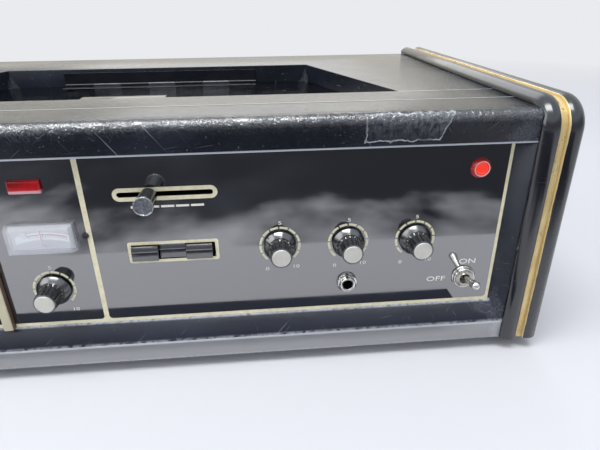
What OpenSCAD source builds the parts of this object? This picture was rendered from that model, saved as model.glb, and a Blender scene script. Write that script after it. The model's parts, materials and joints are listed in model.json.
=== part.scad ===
// Tape echo unit: a tabletop cabinet with a sunk tape lid, a sloping-framed front panel and a loop deck.
// The front panel's face is at y = 0 in the drawing frame, the floor is z = 0, and x = 0 is the middle.

/* [Cabinet] */
// Width between the two side boards
cabinet_w = 480; // [478:1:484]
// Thickness of a side board, and width of its edge moulding
board_t = 25; // [24.6:0.1:26]
// Height of the cabinet without its feet
cabinet_h = 153.4; // [152:0.2:156]
// Depth of the cabinet behind the panel's face
cabinet_depth = 270; // [268:1:275]
// How far the cabinet's front edges stand before the panel
front_reveal = 10; // [9:0.5:12]
// Thickness of the top board
top_t = 18.8; // [18:0.2:20]
// Thickness of the bottom board
bottom_t = 13; // [12:0.5:14]
// Radius of the top board's front edge
top_edge_r = 5; // [3:0.5:7]
// Height of the feet
foot_h = 9; // [7:0.5:12]
// Radius of a foot
foot_r = 11; // [9:0.5:14]

/* [Edge moulding] */
// How far the moulding stands out from the board's edge
moulding_d = 6; // [5.6:0.1:6.4]
// Radius of each of its two lobes
lobe_r = 7.2; // [7:0.1:7.6]
// Radius of the moulding's outside at the top front corner
corner_r = 19; // [17:0.5:22]
// Width of the gold inlay
inlay_w = 4.7; // [4:0.1:5.4]
// Thickness of the gold inlay
inlay_t = 1.4; // [1:0.1:1.6]

/* [Lid well] */
// Half width of the well at its front
well_front_half = 176.5; // [175:0.5:178]
// Half width of the well at its back
well_back_half = 130.1; // [129:0.1:131]
// Front edge of the well behind the panel's face
well_front_y = 53.4; // [52.6:0.2:54]
// Back edge of the well behind the panel's face
well_back_y = 197.8; // [197:0.2:199]
// Thickness of the lid
lid_t = 4.2; // [3.8:0.1:4.6]
// Gap round the lid
lid_gap = 0.6; // [0.5:0.1:0.8]
// Width of the pull tab
tab_w = 53; // [46:1:60]
// Length of the lid's hinge
hinge_len = 168; // [160:1:176]

/* [Front panel] */
// Width of the jamb beside the panel
jamb_w = 7.6; // [7.2:0.1:8.4]
// Lower edge of the panel above the floor
panel_z0 = 33.4; // [33:0.1:34]
// Thickness of the panel
panel_t = 2; // [1.8:0.1:2.4]
// Width of the raised divider bar
divider_w = 5.8; // [5:0.1:6.4]
// How far the divider bar stands out
divider_d = 4.5; // [3.5:0.5:5.5]
// Middle of the divider bar from the middle of the unit
divider_x = -74.9; // [-76:0.1:-73.8]

/* [Knobs] */
// Radius of a knob's skirt
skirt_r = 10; // [9.4:0.1:10.6]
// Radius of a knob's grip at its foot
grip_r = 7.2; // [7:0.1:7.4]
// How much less the grip's radius is at its top
grip_taper = 0.8; // [0.6:0.1:0.9]
// How far a knob stands out from the panel
knob_h = 16.9; // [15.5:0.1:18]
// Radius of a knob's metal cap
cap_r = 5.5; // [5:0.1:5.8]
// Height of the three echo knobs above the floor
echo_knob_z = 81.7; // [81:0.1:83]
// Pitch of the three echo knobs
echo_knob_pitch = 42; // [41:0.5:43]
// Middle one of the echo knobs from the panel's right edge
echo_knob_inset = 96.2; // [95.6:0.2:97]
// Number of flutes round a knob's grip
flute_count = 16; // [14:1:18]
// Radius of a flute
flute_r = 0.9; // [0.7:0.05:1]
// Main level knob from the middle of the unit
main_knob_x = -43.4; // [-44:0.1:-42]
// Height of the main level knob above the floor
main_knob_z = 59.4; // [58.6:0.1:60]

/* [Mode lever] */
// Middle of the slot from the middle of the unit
slot_x = 29.95; // [29.5:0.05:30.5]
// Length of the slot
slot_w = 53.9; // [53.4:0.1:54.4]
// Height of the slot
slot_h = 3; // [3:0.1:3.2]
// Height of the slot's middle above the floor
slot_z = 118.6; // [118:0.1:119.4]
// Place of the lever along the unit as it rests
lever_x = 21.3; // [21:0.1:21.6]
// Radius of the lever's end disc
lever_r = 5.5; // [5.2:0.1:5.8]
// How far the lever stands out from the panel
lever_h = 18.6; // [17:0.1:19]

/* [Keys] */
// Middle of the three keys from the middle of the unit
keys_x = 29.9; // [29.6:0.1:30.2]
// Height of the keys' middle above the floor
keys_z = 81.5; // [81:0.1:82]
// Middle of the keys' window from the middle of the unit
key_window_x = 30.6; // [30.4:0.1:30.8]
// Width of the keys' window
key_window_w = 49.4; // [49.2:0.1:50]
// Width of a key
key_w = 15.5; // [15.2:0.1:15.6]
// Height of a key
key_h = 9; // [8.8:0.1:9.2]
// How far a key stands out, which is also its travel
key_travel = 3; // [2.6:0.1:3.2]
// Gap beside a key
key_gap = 0.5; // [0.4:0.05:0.6]

/* [Meter and lamps] */
// Middle of the meter from the middle of the unit
meter_x = -42.6; // [-43:0.1:-42]
// Height of the meter's middle above the floor
meter_z = 94.7; // [94.2:0.1:95.2]
// Width of the meter's clear cover
meter_w = 37.7; // [37.2:0.1:38.4]
// Height of the meter's clear cover
meter_h = 17.7; // [17.4:0.1:18]
// How far the clear cover stands out
meter_d = 6.5; // [6:0.1:7]
// How far the cover's front is drawn in all round
meter_bevel = 1.2; // [1:0.1:1.4]
// Length of the needle beyond its pivot
needle_len = 11; // [10:0.2:11.4]
// Radius of the pilot lamp's bezel
pilot_r = 6.1; // [5.9:0.1:6.6]
// Pilot lamp from the panel's right edge
pilot_inset = 18.8; // [18.2:0.1:19.4]
// Pilot lamp below the panel's top
pilot_drop = 16.9; // [16.3:0.1:17.5]
// Level lamp from the middle of the unit
level_lamp_x = -45; // [-45.5:0.1:-44.5]
// Level lamp below the panel's top
level_lamp_drop = 17.55; // [17:0.05:18]
// Width of the level lamp
level_lamp_w = 17.4; // [17:0.1:18.2]
// Height of the level lamp
level_lamp_h = 7.9; // [7.5:0.1:8.5]
// How far the level lamp stands out
level_lamp_d = 2.6; // [2.2:0.1:3]
// Bevel round the level lamp's front
level_lamp_bevel = 0.9; // [0.6:0.1:1.2]

/* [Switches and jacks] */
// Radius of the bore of a jack
jack_bore_r = 3.25; // [3.2:0.01:3.3]
// Radius of a jack's round nut
jack_nut_r = 6.5; // [6.2:0.1:7]
// Height of the jacks above the floor
jack_z = 53.2; // [52.6:0.1:53.8]
// Echo toggle from the panel's right edge
toggle_inset = 19.4; // [18.8:0.1:20]
// Height of the toggles above the floor
toggle_z = 52.3; // [51.7:0.1:52.9]
// Radius of a toggle's round nut
toggle_nut_r = 7.8; // [7.4:0.1:8.2]
// Angle of a toggle's lever above the level
toggle_tilt = 12; // [10:0.5:13]
// Distance from a toggle's pivot to its tip
toggle_len = 24; // [23:0.1:25.5]

/* [Tape deck] */
// Height of the tape above the floor, at its middle
tape_z = 97; // [96.5:0.1:97.5]
// Width of the tape
tape_w = 6.3; // [6.2:0.05:6.4]
// Half the distance between the tape's two turns
loop_half = 85; // [83:0.5:86]
// Radius of the tape's turns
loop_r = 20; // [19.8:0.05:20.2]
// Line between the tape's turns, behind the panel's face
loop_y = 110; // [109.9:0.05:110.1]
// Radius of the capstan
capstan_r = 3; // [2.9:0.05:3]
// Capstan from the middle of the unit
capstan_x = 40; // [39:0.5:41]
// Radius of the capstan's flywheel
flywheel_r = 30; // [28:0.5:31]
// Radius of the motor's pulley
pulley_r = 8; // [7:0.5:9]
// Motor from the middle of the unit
motor_x = -45; // [-48:0.5:-42]
// Radius of the pinch roller
roller_r = 8; // [7.8:0.05:8.1]

/* [Fits] */
// Gap round a shaft that turns or a rod that slides
running_fit = 0.05; // [0.03:0.01:0.08]
// Gap at a hole that a still part passes through
pass_gap = 0.1; // [0.05:0.01:0.15]
// Gap between the tape and what it runs over
tape_gap = 0.35; // [0.3:0.01:0.4]
// Gap between two pieces that are fastened to each other inside one sub-assembly
seat_gap = 0.05; // [0.02:0.01:0.1]

/* [Hidden] */
$fn = 48;

// Heights and depths of the cabinet
bottom_z = foot_h;
floor_z = bottom_z + bottom_t;
top_z = bottom_z + cabinet_h;
ceiling_z = top_z - top_t;
half_w = cabinet_w / 2;
panel_half = half_w - jamb_w;
core_front_y = -front_reveal + 2;
board_back_y = cabinet_depth + 4;
core_r = corner_r - moulding_d;
rear_t = 2;
edge_inset = 25;
foot_front_y = 18;
foot_back_y = cabinet_depth - 24;
screw_xs = [-half_w + edge_inset, 0, half_w - edge_inset];
screw_r = 1.5;
gland_x = -half_w + 55;
gland_z = 60;
gland_r = 6;
cord_r = 3.6;

// Hinge of the lid
lid_top_z = ceiling_z + lid_t;
knuckle_r = 1.3;
leaf_t = 0.8;
pin_r = 0.6;
hinge_y = well_back_y - 0.2 - knuckle_r;
hinge_z = lid_top_z + knuckle_r;
lid_back_y = hinge_y - 0.1;
knuckle_count = 7;
knuckle_gap = 0.3;

// Deck pan under the well
pan_inset = 8;
pan_t = 1.5;
pan_floor_z = 76;

// Panel positions that follow the panel's edges, and those of the unseen left part
echo_knob_x = panel_half - echo_knob_inset;
jack_x = echo_knob_x;
toggle_x = panel_half - toggle_inset;
pilot_x = panel_half - pilot_inset;
pilot_z = ceiling_z - pilot_drop;
level_lamp_z = ceiling_z - level_lamp_drop;
mic_inset = 35.4;
mic_pitch = 45;
mains_toggle_gap = 32.1;
mic_1_x = -panel_half + mic_inset;
mic_2_x = mic_1_x + mic_pitch;
mains_toggle_x = divider_x - mains_toggle_gap;
panel_screw_x = -18.4;
panel_screw_z = 94.4;
knob_gap = 0.8;
spindle_r = 3;
spindle_in = 12;
skirt_top = 2.4;
flute_out = 0.35;
bush_r = 4.6;
jack_bush_r = 4.7;
toggle_bush_r = 6;
toggle_pin_r = 0.8;
toggle_pin_half = 4.6;
pilot_bush_r = 4.8;
pilot_lens_r = 4;
pilot_h = 2.8;
lens_base = 2.5;
lens_dome = 1.1;
lamp_rim = 1;
key_pitch = key_w + key_gap;
keys_left_x = keys_x - key_pitch;
meter_pivot_z = meter_z - 5.4;
meter_wall = 1.2;
meter_rim = 0.6;
needle_hub_r = 1.2;
needle_axle_r = 0.8;
stem_half = 4.5;
stem_h = 5;

// Front-most and middle planes, which put the origin under the middle of the whole unit
toggle_pivot_y = panel_t;
tip_r = 2.9;
ball_r = 3.2;
toggle_bore_r = 3.4;
front_y = toggle_pivot_y - (toggle_len - tip_r) * cos(toggle_tilt) - tip_r;
middle_y = (front_y + board_back_y) / 2;

// Tape deck places
capstan_y = loop_y + loop_r + tape_gap + capstan_r;
roller_y = loop_y + loop_r - tape_gap - roller_r;
head_face_y = loop_y - loop_r - tape_gap;
arm_x = 10;
arm_y = 116;
rail_z = 84;
rail_ys = [70, 76.5];
rail_r = 1.5;
carriage_y = 66.5;
bar_half = 2.5;
bar_t = 2.4;
grip_gap = 2.4;
disc_t = 1;
disc_rim = 0.7;
disc_dip = 0.4;
flywheel_z = 60;

// Chassis and power
tray_t = 1.5;
tray_z = floor_z + tray_t;
tray_half = half_w - 15;
tray_back_y = cabinet_depth - 15;
tray_front_h = 15;
tray_side_h = 15;
pcb_t = 1.6;
pcb_z = tray_z + 10;
pcb_low = [60, 90];
pcb_high = [tray_half - 10, tray_back_y - 20];
transformer_x = -tray_half + 43;
transformer_y = tray_back_y - 34;

// ---------- helpers ----------

// Moves the drawing frame so that the origin is under the unit's middle
module placed() {
    translate([0, -middle_y, 0]) children();
}

// A box between two corners
module box(from, to) {
    translate(from) cube(to - from);
}

// Turns a child so that its own z points out of the panel
module facing(x, z) {
    translate([x, 0, z]) rotate([90, 0, 0]) children();
}

// A tube or rod between two heights of the child's own z
module rod(r, z0, z1) {
    translate([0, 0, z0]) cylinder(r = r, h = z1 - z0);
}

// A block on the panel whose front is drawn in all round, from a straight rim
module bevelled_block(w, h, d, rim, bevel, back = 0) {
    intersection() {
        translate([0, 0, -h / 2]) linear_extrude(h) polygon([
            [-w / 2, back], [w / 2, back], [w / 2, -rim], [w / 2 - bevel, -d],
            [-w / 2 + bevel, -d], [-w / 2, -rim]
        ]);
        translate([-w / 2, 0, 0]) rotate([90, 0, 90]) linear_extrude(w) polygon([
            [back, -h / 2], [back, h / 2], [-rim, h / 2], [-d, h / 2 - bevel],
            [-d, -h / 2 + bevel], [-rim, -h / 2]
        ]);
    }
}

// The well's outline, drawn in by an inset
module well_outline(inset) {
    polygon([
        [-(well_front_half - inset), well_front_y + inset],
        [well_front_half - inset, well_front_y + inset],
        [well_back_half - inset, well_back_y - inset],
        [-(well_back_half - inset), well_back_y - inset]
    ]);
}

// ---------- cabinet ----------

// Places of the rear panel's screws
module rear_screw_places() {
    for (x = screw_xs) {
        for (z = [bottom_z + bottom_t / 2, top_z - top_t / 2]) {
            translate([x, cabinet_depth, z]) rotate([-90, 0, 0]) children();
        }
    }
}

module cabinet_top() placed() color([0.07, 0.08, 0.10]) {
    difference() {
        union() {
            box([-half_w, -front_reveal + top_edge_r, ceiling_z], [half_w, cabinet_depth, top_z]);
            box([-half_w, -front_reveal, ceiling_z],
                [half_w, -front_reveal + top_edge_r, top_z - top_edge_r]);
            translate([-half_w, -front_reveal + top_edge_r, top_z - top_edge_r])
                rotate([0, 90, 0]) cylinder(r = top_edge_r, h = cabinet_w);
        }
        translate([0, 0, ceiling_z - 1]) linear_extrude(top_t + 2) well_outline(0);
        rear_screw_places() rod(screw_r, -9, 1);
    }
}

module cabinet_bottom() placed() color([0.07, 0.08, 0.10]) {
    difference() {
        box([-half_w, -front_reveal, bottom_z], [half_w, cabinet_depth, floor_z]);
        rear_screw_places() rod(screw_r, -9, 1);
    }
}

// A side board on the +x side, without its moulding
module side_board() {
    round_y = core_front_y + core_r;
    round_z = top_z - core_r;
    box([half_w, core_front_y, bottom_z], [half_w + board_t, round_y, round_z]);
    box([half_w, round_y, bottom_z], [half_w + board_t, board_back_y, top_z]);
    intersection() {
        translate([half_w, round_y, round_z]) rotate([0, 90, 0]) cylinder(r = core_r, h = board_t);
        box([half_w, core_front_y - 1, round_z - 1], [half_w + board_t, round_y + 1, top_z + 1]);
    }
}

module side_board_left() placed() color([0.06, 0.07, 0.09]) mirror([1, 0, 0]) side_board();

module side_board_right() placed() color([0.06, 0.07, 0.09]) side_board();

// The moulding's section: two round lobes with a groove between them, 0 at the board's edge
module moulding_section() {
    lobe_x = board_t / 4;
    difference() {
        union() {
            for (side = [-1, 1]) {
                intersection() {
                    translate([side * lobe_x, moulding_d - lobe_r]) circle(r = lobe_r);
                    translate([side * lobe_x - lobe_x, 0]) square([2 * lobe_x, moulding_d]);
                }
            }
            translate([-board_t / 2, 0]) square([board_t, moulding_d / 3]);
        }
        translate([-inlay_w / 2, moulding_d / 3]) square([inlay_w, moulding_d]);
    }
}

module inlay_section() {
    translate([-inlay_w / 2, moulding_d / 3]) square([inlay_w, inlay_t]);
}

// Runs a section up the front of the +x board, round its corner and back along its top
module along_board_edge() {
    middle_x = half_w + board_t / 2;
    round_y = core_front_y + core_r;
    round_z = top_z - core_r;
    translate([middle_x, core_front_y, bottom_z]) mirror([0, 1, 0])
        linear_extrude(round_z - bottom_z) children();
    translate([middle_x, round_y, round_z]) rotate([0, 90, 0]) rotate([0, 0, 180])
        rotate_extrude(angle = 90) translate([core_r, 0]) rotate(-90) children();
    translate([middle_x, board_back_y, top_z]) rotate([90, 0, 0])
        linear_extrude(board_back_y - round_y) children();
}

module edge_mouldings() placed() color([0.05, 0.05, 0.06]) {
    for (side = [0, 1]) mirror([side, 0, 0]) along_board_edge() moulding_section();
}

module gold_inlays() placed() color([0.80, 0.66, 0.36]) {
    for (side = [0, 1]) mirror([side, 0, 0]) along_board_edge() inlay_section();
}

// The sloping sill and jambs between the cabinet's front edge and the panel
module front_surround() placed() color([0.16, 0.18, 0.21]) {
    translate([-half_w, 0, 0]) rotate([90, 0, 90]) linear_extrude(cabinet_w)
        polygon([[-front_reveal, floor_z], [panel_t, floor_z], [panel_t, panel_z0], [0, panel_z0]]);
    for (side = [0, 1]) {
        mirror([side, 0, 0]) translate([0, 0, floor_z]) linear_extrude(ceiling_z - floor_z)
            polygon([[half_w, -front_reveal], [half_w, panel_t], [panel_half, panel_t], [panel_half, 0]]);
    }
}

module rubber_feet() placed() color([0.10, 0.10, 0.10]) {
    for (x = [-half_w + edge_inset, half_w - edge_inset]) {
        for (y = [foot_front_y, foot_back_y]) {
            translate([x, y, 0]) difference() {
                cylinder(r1 = foot_r - 1.5, r2 = foot_r, h = foot_h);
                rod(4, -1, foot_h / 2);
            }
        }
    }
}

module rear_panel() placed() color([0.22, 0.23, 0.24]) {
    difference() {
        box([-half_w, cabinet_depth, bottom_z + 1], [half_w, cabinet_depth + rear_t, top_z - 1]);
        rear_screw_places() rod(screw_r + pass_gap, -1, rear_t + 1);
        translate([gland_x, cabinet_depth, gland_z]) rotate([-90, 0, 0])
            rod(gland_r + pass_gap, -1, rear_t + 1);
    }
}

// The cord's bush, with its nut inside the rear panel
module mains_gland() placed() color([0.05, 0.05, 0.05]) {
    translate([gland_x, cabinet_depth, gland_z]) rotate([-90, 0, 0]) {
        difference() {
            union() {
                rod(gland_r, -12, rear_t);
                rod(gland_r + 2.5, rear_t, rear_t + 1.8);
            }
            rod(cord_r, -13, rear_t + 3);
        }
        difference() {
            translate([0, 0, -4]) cylinder(r = 9.5, h = 4, $fn = 6);
            rod(gland_r + running_fit, -5, 1);
        }
    }
}

// The panel's screw and the rear panel's screws
module screws() placed() color([0.25, 0.25, 0.27]) {
    facing(panel_screw_x, panel_screw_z) {
        difference() {
            rod(1.9, 0, 0.9);
            translate([-0.3, -1.5, 0.4]) cube([0.6, 3, 1]);
            translate([-1.5, -0.3, 0.4]) cube([3, 0.6, 1]);
        }
        rod(1.2, -8, 0);
    }
    rear_screw_places() {
        difference() {
            rod(3.2, rear_t, rear_t + 1.5);
            translate([-2.4, -0.4, rear_t + 0.8]) cube([4.8, 0.8, 2]);
        }
        rod(screw_r - running_fit, -8, rear_t);
    }
}

// ---------- chassis and power ----------

module chassis_tray() placed() color([0.62, 0.62, 0.60]) {
    box([-tray_half, panel_t, floor_z], [tray_half, tray_back_y, tray_z]);
    box([-tray_half, panel_t, floor_z], [tray_half, panel_t + tray_t, floor_z + tray_front_h]);
    for (side = [0, 1]) {
        mirror([side, 0, 0])
            box([tray_half - tray_t, panel_t, floor_z], [tray_half, tray_back_y, floor_z + tray_side_h]);
    }
}

// The board on its four posts, with six cans and three rows of parts
module circuit_board() placed() color([0.55, 0.40, 0.20]) {
    part_z = pcb_z + pcb_t + seat_gap;
    can_pitch = (pcb_high[0] - pcb_low[0] - 45) / 5;
    part_pitch = (pcb_high[0] - pcb_low[0] - 35) / 8;
    for (x = [pcb_low[0] + 8, pcb_high[0] - 8]) {
        for (y = [pcb_low[1] + 8, pcb_high[1] - 8]) translate([x, y, 0]) rod(3, tray_z, pcb_z - seat_gap);
    }
    box([pcb_low[0], pcb_low[1], pcb_z], [pcb_high[0], pcb_high[1], pcb_z + pcb_t]);
    for (i = [0:5]) {
        translate([pcb_low[0] + 24 + can_pitch * i, pcb_high[1] - 20, 0])
            rod(i % 2 == 0 ? 8 : 6, part_z, part_z + 19);
    }
    for (i = [0:8]) {
        for (row = [0:2]) {
            translate([pcb_low[0] + 16 + part_pitch * i, pcb_low[1] + 22 + 28 * row, part_z]) cube([8, 4, 5]);
        }
    }
}

// The foot plate, the bolted core, and the winding that stands out on both sides
module power_transformer() placed() color([0.35, 0.35, 0.36]) {
    core_z = tray_z + 3 + seat_gap;
    core_h = 47;
    translate([transformer_x, transformer_y, 0]) {
        box([-32, -25, tray_z], [32, 25, tray_z + 3]);
        difference() {
            box([-30, -17, core_z], [30, 17, core_z + core_h]);
            for (x = [-26, 26]) {
                for (z = [core_z + 5, core_z + core_h - 5]) {
                    translate([x, -18, z]) rotate([-90, 0, 0]) cylinder(r = 2, h = 36);
                }
            }
        }
        for (side = [0, 1]) {
            mirror([0, side, 0]) translate([0, -17 - seat_gap, core_z + 9]) linear_extrude(core_h - 18)
                polygon([[-26, 0], [26, 0], [26, -6], [18, -12], [-18, -12], [-26, -6]]);
        }
    }
}

// ---------- lid and deck ----------

// The tray that hangs under the well: its flange is the lid's ledge
module deck_pan() placed() color([0.45, 0.46, 0.46]) {
    difference() {
        union() {
            translate([0, 0, ceiling_z - pan_t]) linear_extrude(pan_t) well_outline(-10);
            translate([0, 0, pan_floor_z - pan_t]) linear_extrude(ceiling_z - pan_floor_z)
                well_outline(pan_inset);
        }
        translate([0, 0, pan_floor_z]) linear_extrude(ceiling_z) well_outline(pan_inset + pan_t);
        box([slot_x - slot_w / 2 - 1, well_front_y, slot_z - 4], [slot_x + slot_w / 2 + 1, 70, slot_z + 4]);
        translate([capstan_x, capstan_y, 0]) rod(7 + pass_gap, pan_floor_z - 5, pan_floor_z + 5);
    }
}

// The lid's rear corners are cut back so that they clear the well's slanting walls as it opens
module tape_lid() placed() color([0.04, 0.04, 0.05]) {
    slope = (well_front_half - well_back_half) / (well_back_y - well_front_y);
    front_half = well_front_half - lid_gap * slope - lid_gap;
    relief = [14, 34];
    side_gap = 1.4;
    straight_half = well_back_half - lid_gap;
    bend_half = well_back_half + slope * relief[1] - side_gap;
    difference() {
        translate([0, 0, ceiling_z]) linear_extrude(lid_t) polygon([
            [-front_half, well_front_y + lid_gap], [front_half, well_front_y + lid_gap],
            [bend_half, lid_back_y - relief[1]], [straight_half, lid_back_y - relief[0]],
            [straight_half, lid_back_y], [-straight_half, lid_back_y],
            [-straight_half, lid_back_y - relief[0]], [-bend_half, lid_back_y - relief[1]]
        ]);
        box([-hinge_len / 2 - 1, lid_back_y - 10, lid_top_z - leaf_t],
            [hinge_len / 2 + 1, lid_back_y + 1, lid_top_z + 1]);
    }
    box([-tab_w / 2, well_front_y + lid_gap, lid_top_z], [tab_w / 2, well_front_y + 10.6, top_z - 0.4]);
}

// The knuckles with an odd or an even number along the hinge
module knuckles(first) {
    step = hinge_len / knuckle_count;
    for (i = [first:2:knuckle_count - 1]) {
        translate([-hinge_len / 2 + step * i + knuckle_gap / 2, hinge_y, hinge_z])
            rotate([0, 90, 0]) cylinder(r = knuckle_r, h = step - knuckle_gap);
    }
}

// The leaf on the well's back wall, with the pin
module lid_hinge_fixed() placed() color([0.60, 0.61, 0.62]) {
    step = hinge_len / knuckle_count;
    knuckles(0);
    translate([-hinge_len / 2 + knuckle_gap, hinge_y, hinge_z]) rotate([0, 90, 0])
        cylinder(r = pin_r, h = hinge_len - 2 * knuckle_gap);
    for (i = [0:2:knuckle_count - 1]) {
        box([-hinge_len / 2 + step * i + knuckle_gap / 2, hinge_y, hinge_z],
            [-hinge_len / 2 + step * (i + 1) - knuckle_gap / 2, well_back_y, hinge_z + leaf_t]);
    }
    box([-hinge_len / 2, well_back_y - leaf_t, hinge_z + knuckle_r + 0.4],
        [hinge_len / 2, well_back_y, top_z - 3]);
    for (i = [0:2:knuckle_count - 1]) {
        box([-hinge_len / 2 + step * i + knuckle_gap / 2, well_back_y - leaf_t, hinge_z],
            [-hinge_len / 2 + step * (i + 1) - knuckle_gap / 2, well_back_y, hinge_z + knuckle_r + 1]);
    }
}

// The leaf let into the lid's top face
module lid_hinge_moving() placed() color([0.60, 0.61, 0.62]) {
    step = hinge_len / knuckle_count;
    difference() {
        union() {
            knuckles(1);
            for (i = [1:2:knuckle_count - 1]) {
                box([-hinge_len / 2 + step * i + knuckle_gap / 2, lid_back_y - 1, lid_top_z - leaf_t],
                    [-hinge_len / 2 + step * (i + 1) - knuckle_gap / 2, hinge_y, hinge_z]);
            }
        }
        translate([-hinge_len / 2, hinge_y, hinge_z]) rotate([0, 90, 0])
            cylinder(r = pin_r + running_fit, h = hinge_len);
    }
    box([-hinge_len / 2, lid_back_y - 9.8, lid_top_z - leaf_t], [hinge_len / 2, lid_back_y - 1, lid_top_z]);
}

module drive_motor() placed() color([0.30, 0.31, 0.33]) {
    translate([motor_x, capstan_y, 0]) difference() {
        union() {
            rod(23, tray_z + 2, flywheel_z - 4);
            rod(7, flywheel_z - 4, flywheel_z - 1);
            box([-28, -10, tray_z], [28, 10, tray_z + 2]);
        }
        rod(2 + running_fit, flywheel_z - 16, flywheel_z);
    }
}

module motor_pulley() placed() color([0.72, 0.62, 0.34]) {
    translate([motor_x, capstan_y, 0]) {
        rod(2, flywheel_z - 15, flywheel_z);
        rod(pulley_r + 1.5, flywheel_z, flywheel_z + 1);
        rod(pulley_r, flywheel_z + 1, flywheel_z + 7);
        rod(pulley_r + 1.5, flywheel_z + 7, flywheel_z + 8);
    }
}

// The area inside a belt that runs round the pulley and the flywheel
module belt_area(grow) {
    hull() {
        translate([motor_x, capstan_y]) circle(r = pulley_r + grow, $fn = 40);
        translate([capstan_x, capstan_y]) circle(r = flywheel_r + grow, $fn = 72);
    }
}

module drive_belt() placed() color([0.12, 0.12, 0.12]) {
    translate([0, 0, flywheel_z + 2]) linear_extrude(4) difference() {
        belt_area(1.4);
        belt_area(0.4);
    }
}

module capstan_shaft() placed() color([0.80, 0.81, 0.82]) {
    translate([capstan_x, capstan_y, 0]) rod(capstan_r, flywheel_z - 3, tape_z + 9);
}

module capstan_flywheel() placed() color([0.66, 0.60, 0.42]) {
    translate([capstan_x, capstan_y, 0]) difference() {
        union() {
            rod(flywheel_r, flywheel_z, flywheel_z + 8);
            rod(8, flywheel_z - 3, flywheel_z);
        }
        rod(capstan_r, flywheel_z - 4, flywheel_z + 9);
    }
}

module capstan_bearing() placed() color([0.70, 0.58, 0.30]) {
    translate([capstan_x, capstan_y, 0]) difference() {
        union() {
            rod(7, pan_floor_z - 5, pan_floor_z + 6);
            rod(10, pan_floor_z, pan_floor_z + 3);
        }
        rod(capstan_r + running_fit, pan_floor_z - 6, pan_floor_z + 7);
    }
}

// The arm swings on the post, and its axle carries the roller
module pinch_arm() placed() color([0.62, 0.63, 0.64]) {
    reach = [capstan_x - arm_x, roller_y - arm_y];
    length = norm(reach);
    translate([arm_x, arm_y, 0]) rotate([0, 0, atan2(reach[1], reach[0])]) difference() {
        union() {
            rod(6, pan_floor_z + 4, pan_floor_z + 14);
            box([0, -5, pan_floor_z + 8], [length, 5, pan_floor_z + 11]);
            translate([length, 0, 0]) rod(5, pan_floor_z + 8, pan_floor_z + 11);
            translate([length, 0, 0]) rod(2, pan_floor_z + 11, tape_z + 6);
        }
        rod(2.5 + running_fit, pan_floor_z, pan_floor_z + 20);
    }
}

module pinch_roller() placed() color([0.13, 0.13, 0.13]) {
    translate([capstan_x, roller_y, 0]) difference() {
        rod(roller_r, tape_z - 5, tape_z + 5);
        rod(2 + running_fit, tape_z - 6, tape_z + 6);
    }
}

// Two flanged drums that the loop turns round, and the post of the pinch arm
module tape_guides() placed() color([0.78, 0.79, 0.80]) {
    drum_r = loop_r - tape_gap;
    half_tape = tape_w / 2 + 0.6;
    for (side = [-1, 1]) {
        translate([side * loop_half, loop_y, 0]) {
            rod(9, pan_floor_z, tape_z - half_tape - 1.5);
            rod(drum_r, tape_z - half_tape, tape_z + half_tape);
            rod(drum_r + 2, tape_z - half_tape - 1.5, tape_z - half_tape);
            rod(drum_r + 2, tape_z + half_tape, tape_z + half_tape + 1.5);
        }
    }
    translate([arm_x, arm_y, 0]) {
        rod(5, pan_floor_z, pan_floor_z + 4 - 0.1);
        rod(2.5, pan_floor_z + 3, pan_floor_z + 16);
    }
}

// A head with a round nose that faces the tape
module head_block(x, z0) {
    nose_r = 12;
    intersection() {
        box([x - 6.5, 74, z0], [x + 6.5, 92, tape_z + 7]);
        translate([x, head_face_y - nose_r, 0]) rod(nose_r, z0 - 1, tape_z + 8);
    }
}

module fixed_heads() placed() color([0.70, 0.71, 0.72]) {
    for (x = [-52, -26]) {
        head_block(x, rail_z + 6);
        box([x - 4, 74, pan_floor_z], [x + 4, 84, rail_z + 6]);
    }
}

// Two rods and the blocks that hold their ends
module head_rails() placed() color([0.74, 0.75, 0.76]) {
    difference() {
        for (x = [-16, 70]) box([x, 67, pan_floor_z], [x + 5, 80, rail_z + 4]);
        for (y = rail_ys) {
            translate([-17, y, rail_z]) rotate([0, 90, 0]) cylinder(r = rail_r + seat_gap, h = 93);
        }
    }
    for (y = rail_ys) translate([-15, y, rail_z]) rotate([0, 90, 0]) cylinder(r = rail_r, h = 89);
}

module playback_carriage() placed() color([0.55, 0.56, 0.57]) {
    difference() {
        box([lever_x - 14, carriage_y, rail_z - 4], [lever_x + 14, carriage_y + 13.5, rail_z + 4]);
        for (y = rail_ys) {
            translate([lever_x - 15, y, rail_z]) rotate([0, 90, 0])
                cylinder(r = rail_r + running_fit, h = 30);
        }
    }
}

module playback_head() placed() color([0.72, 0.73, 0.74]) head_block(lever_x, rail_z + 4);

// The area inside the tape loop
module loop_area(grow) {
    hull() {
        for (side = [-1, 1]) translate([side * loop_half, loop_y]) circle(r = loop_r + grow, $fn = 72);
    }
}

module tape_loop() placed() color([0.22, 0.13, 0.08]) {
    translate([0, 0, tape_z - tape_w / 2]) linear_extrude(tape_w) difference() {
        loop_area(0.05);
        loop_area(-0.05);
    }
}

// ---------- front panel ----------

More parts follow.
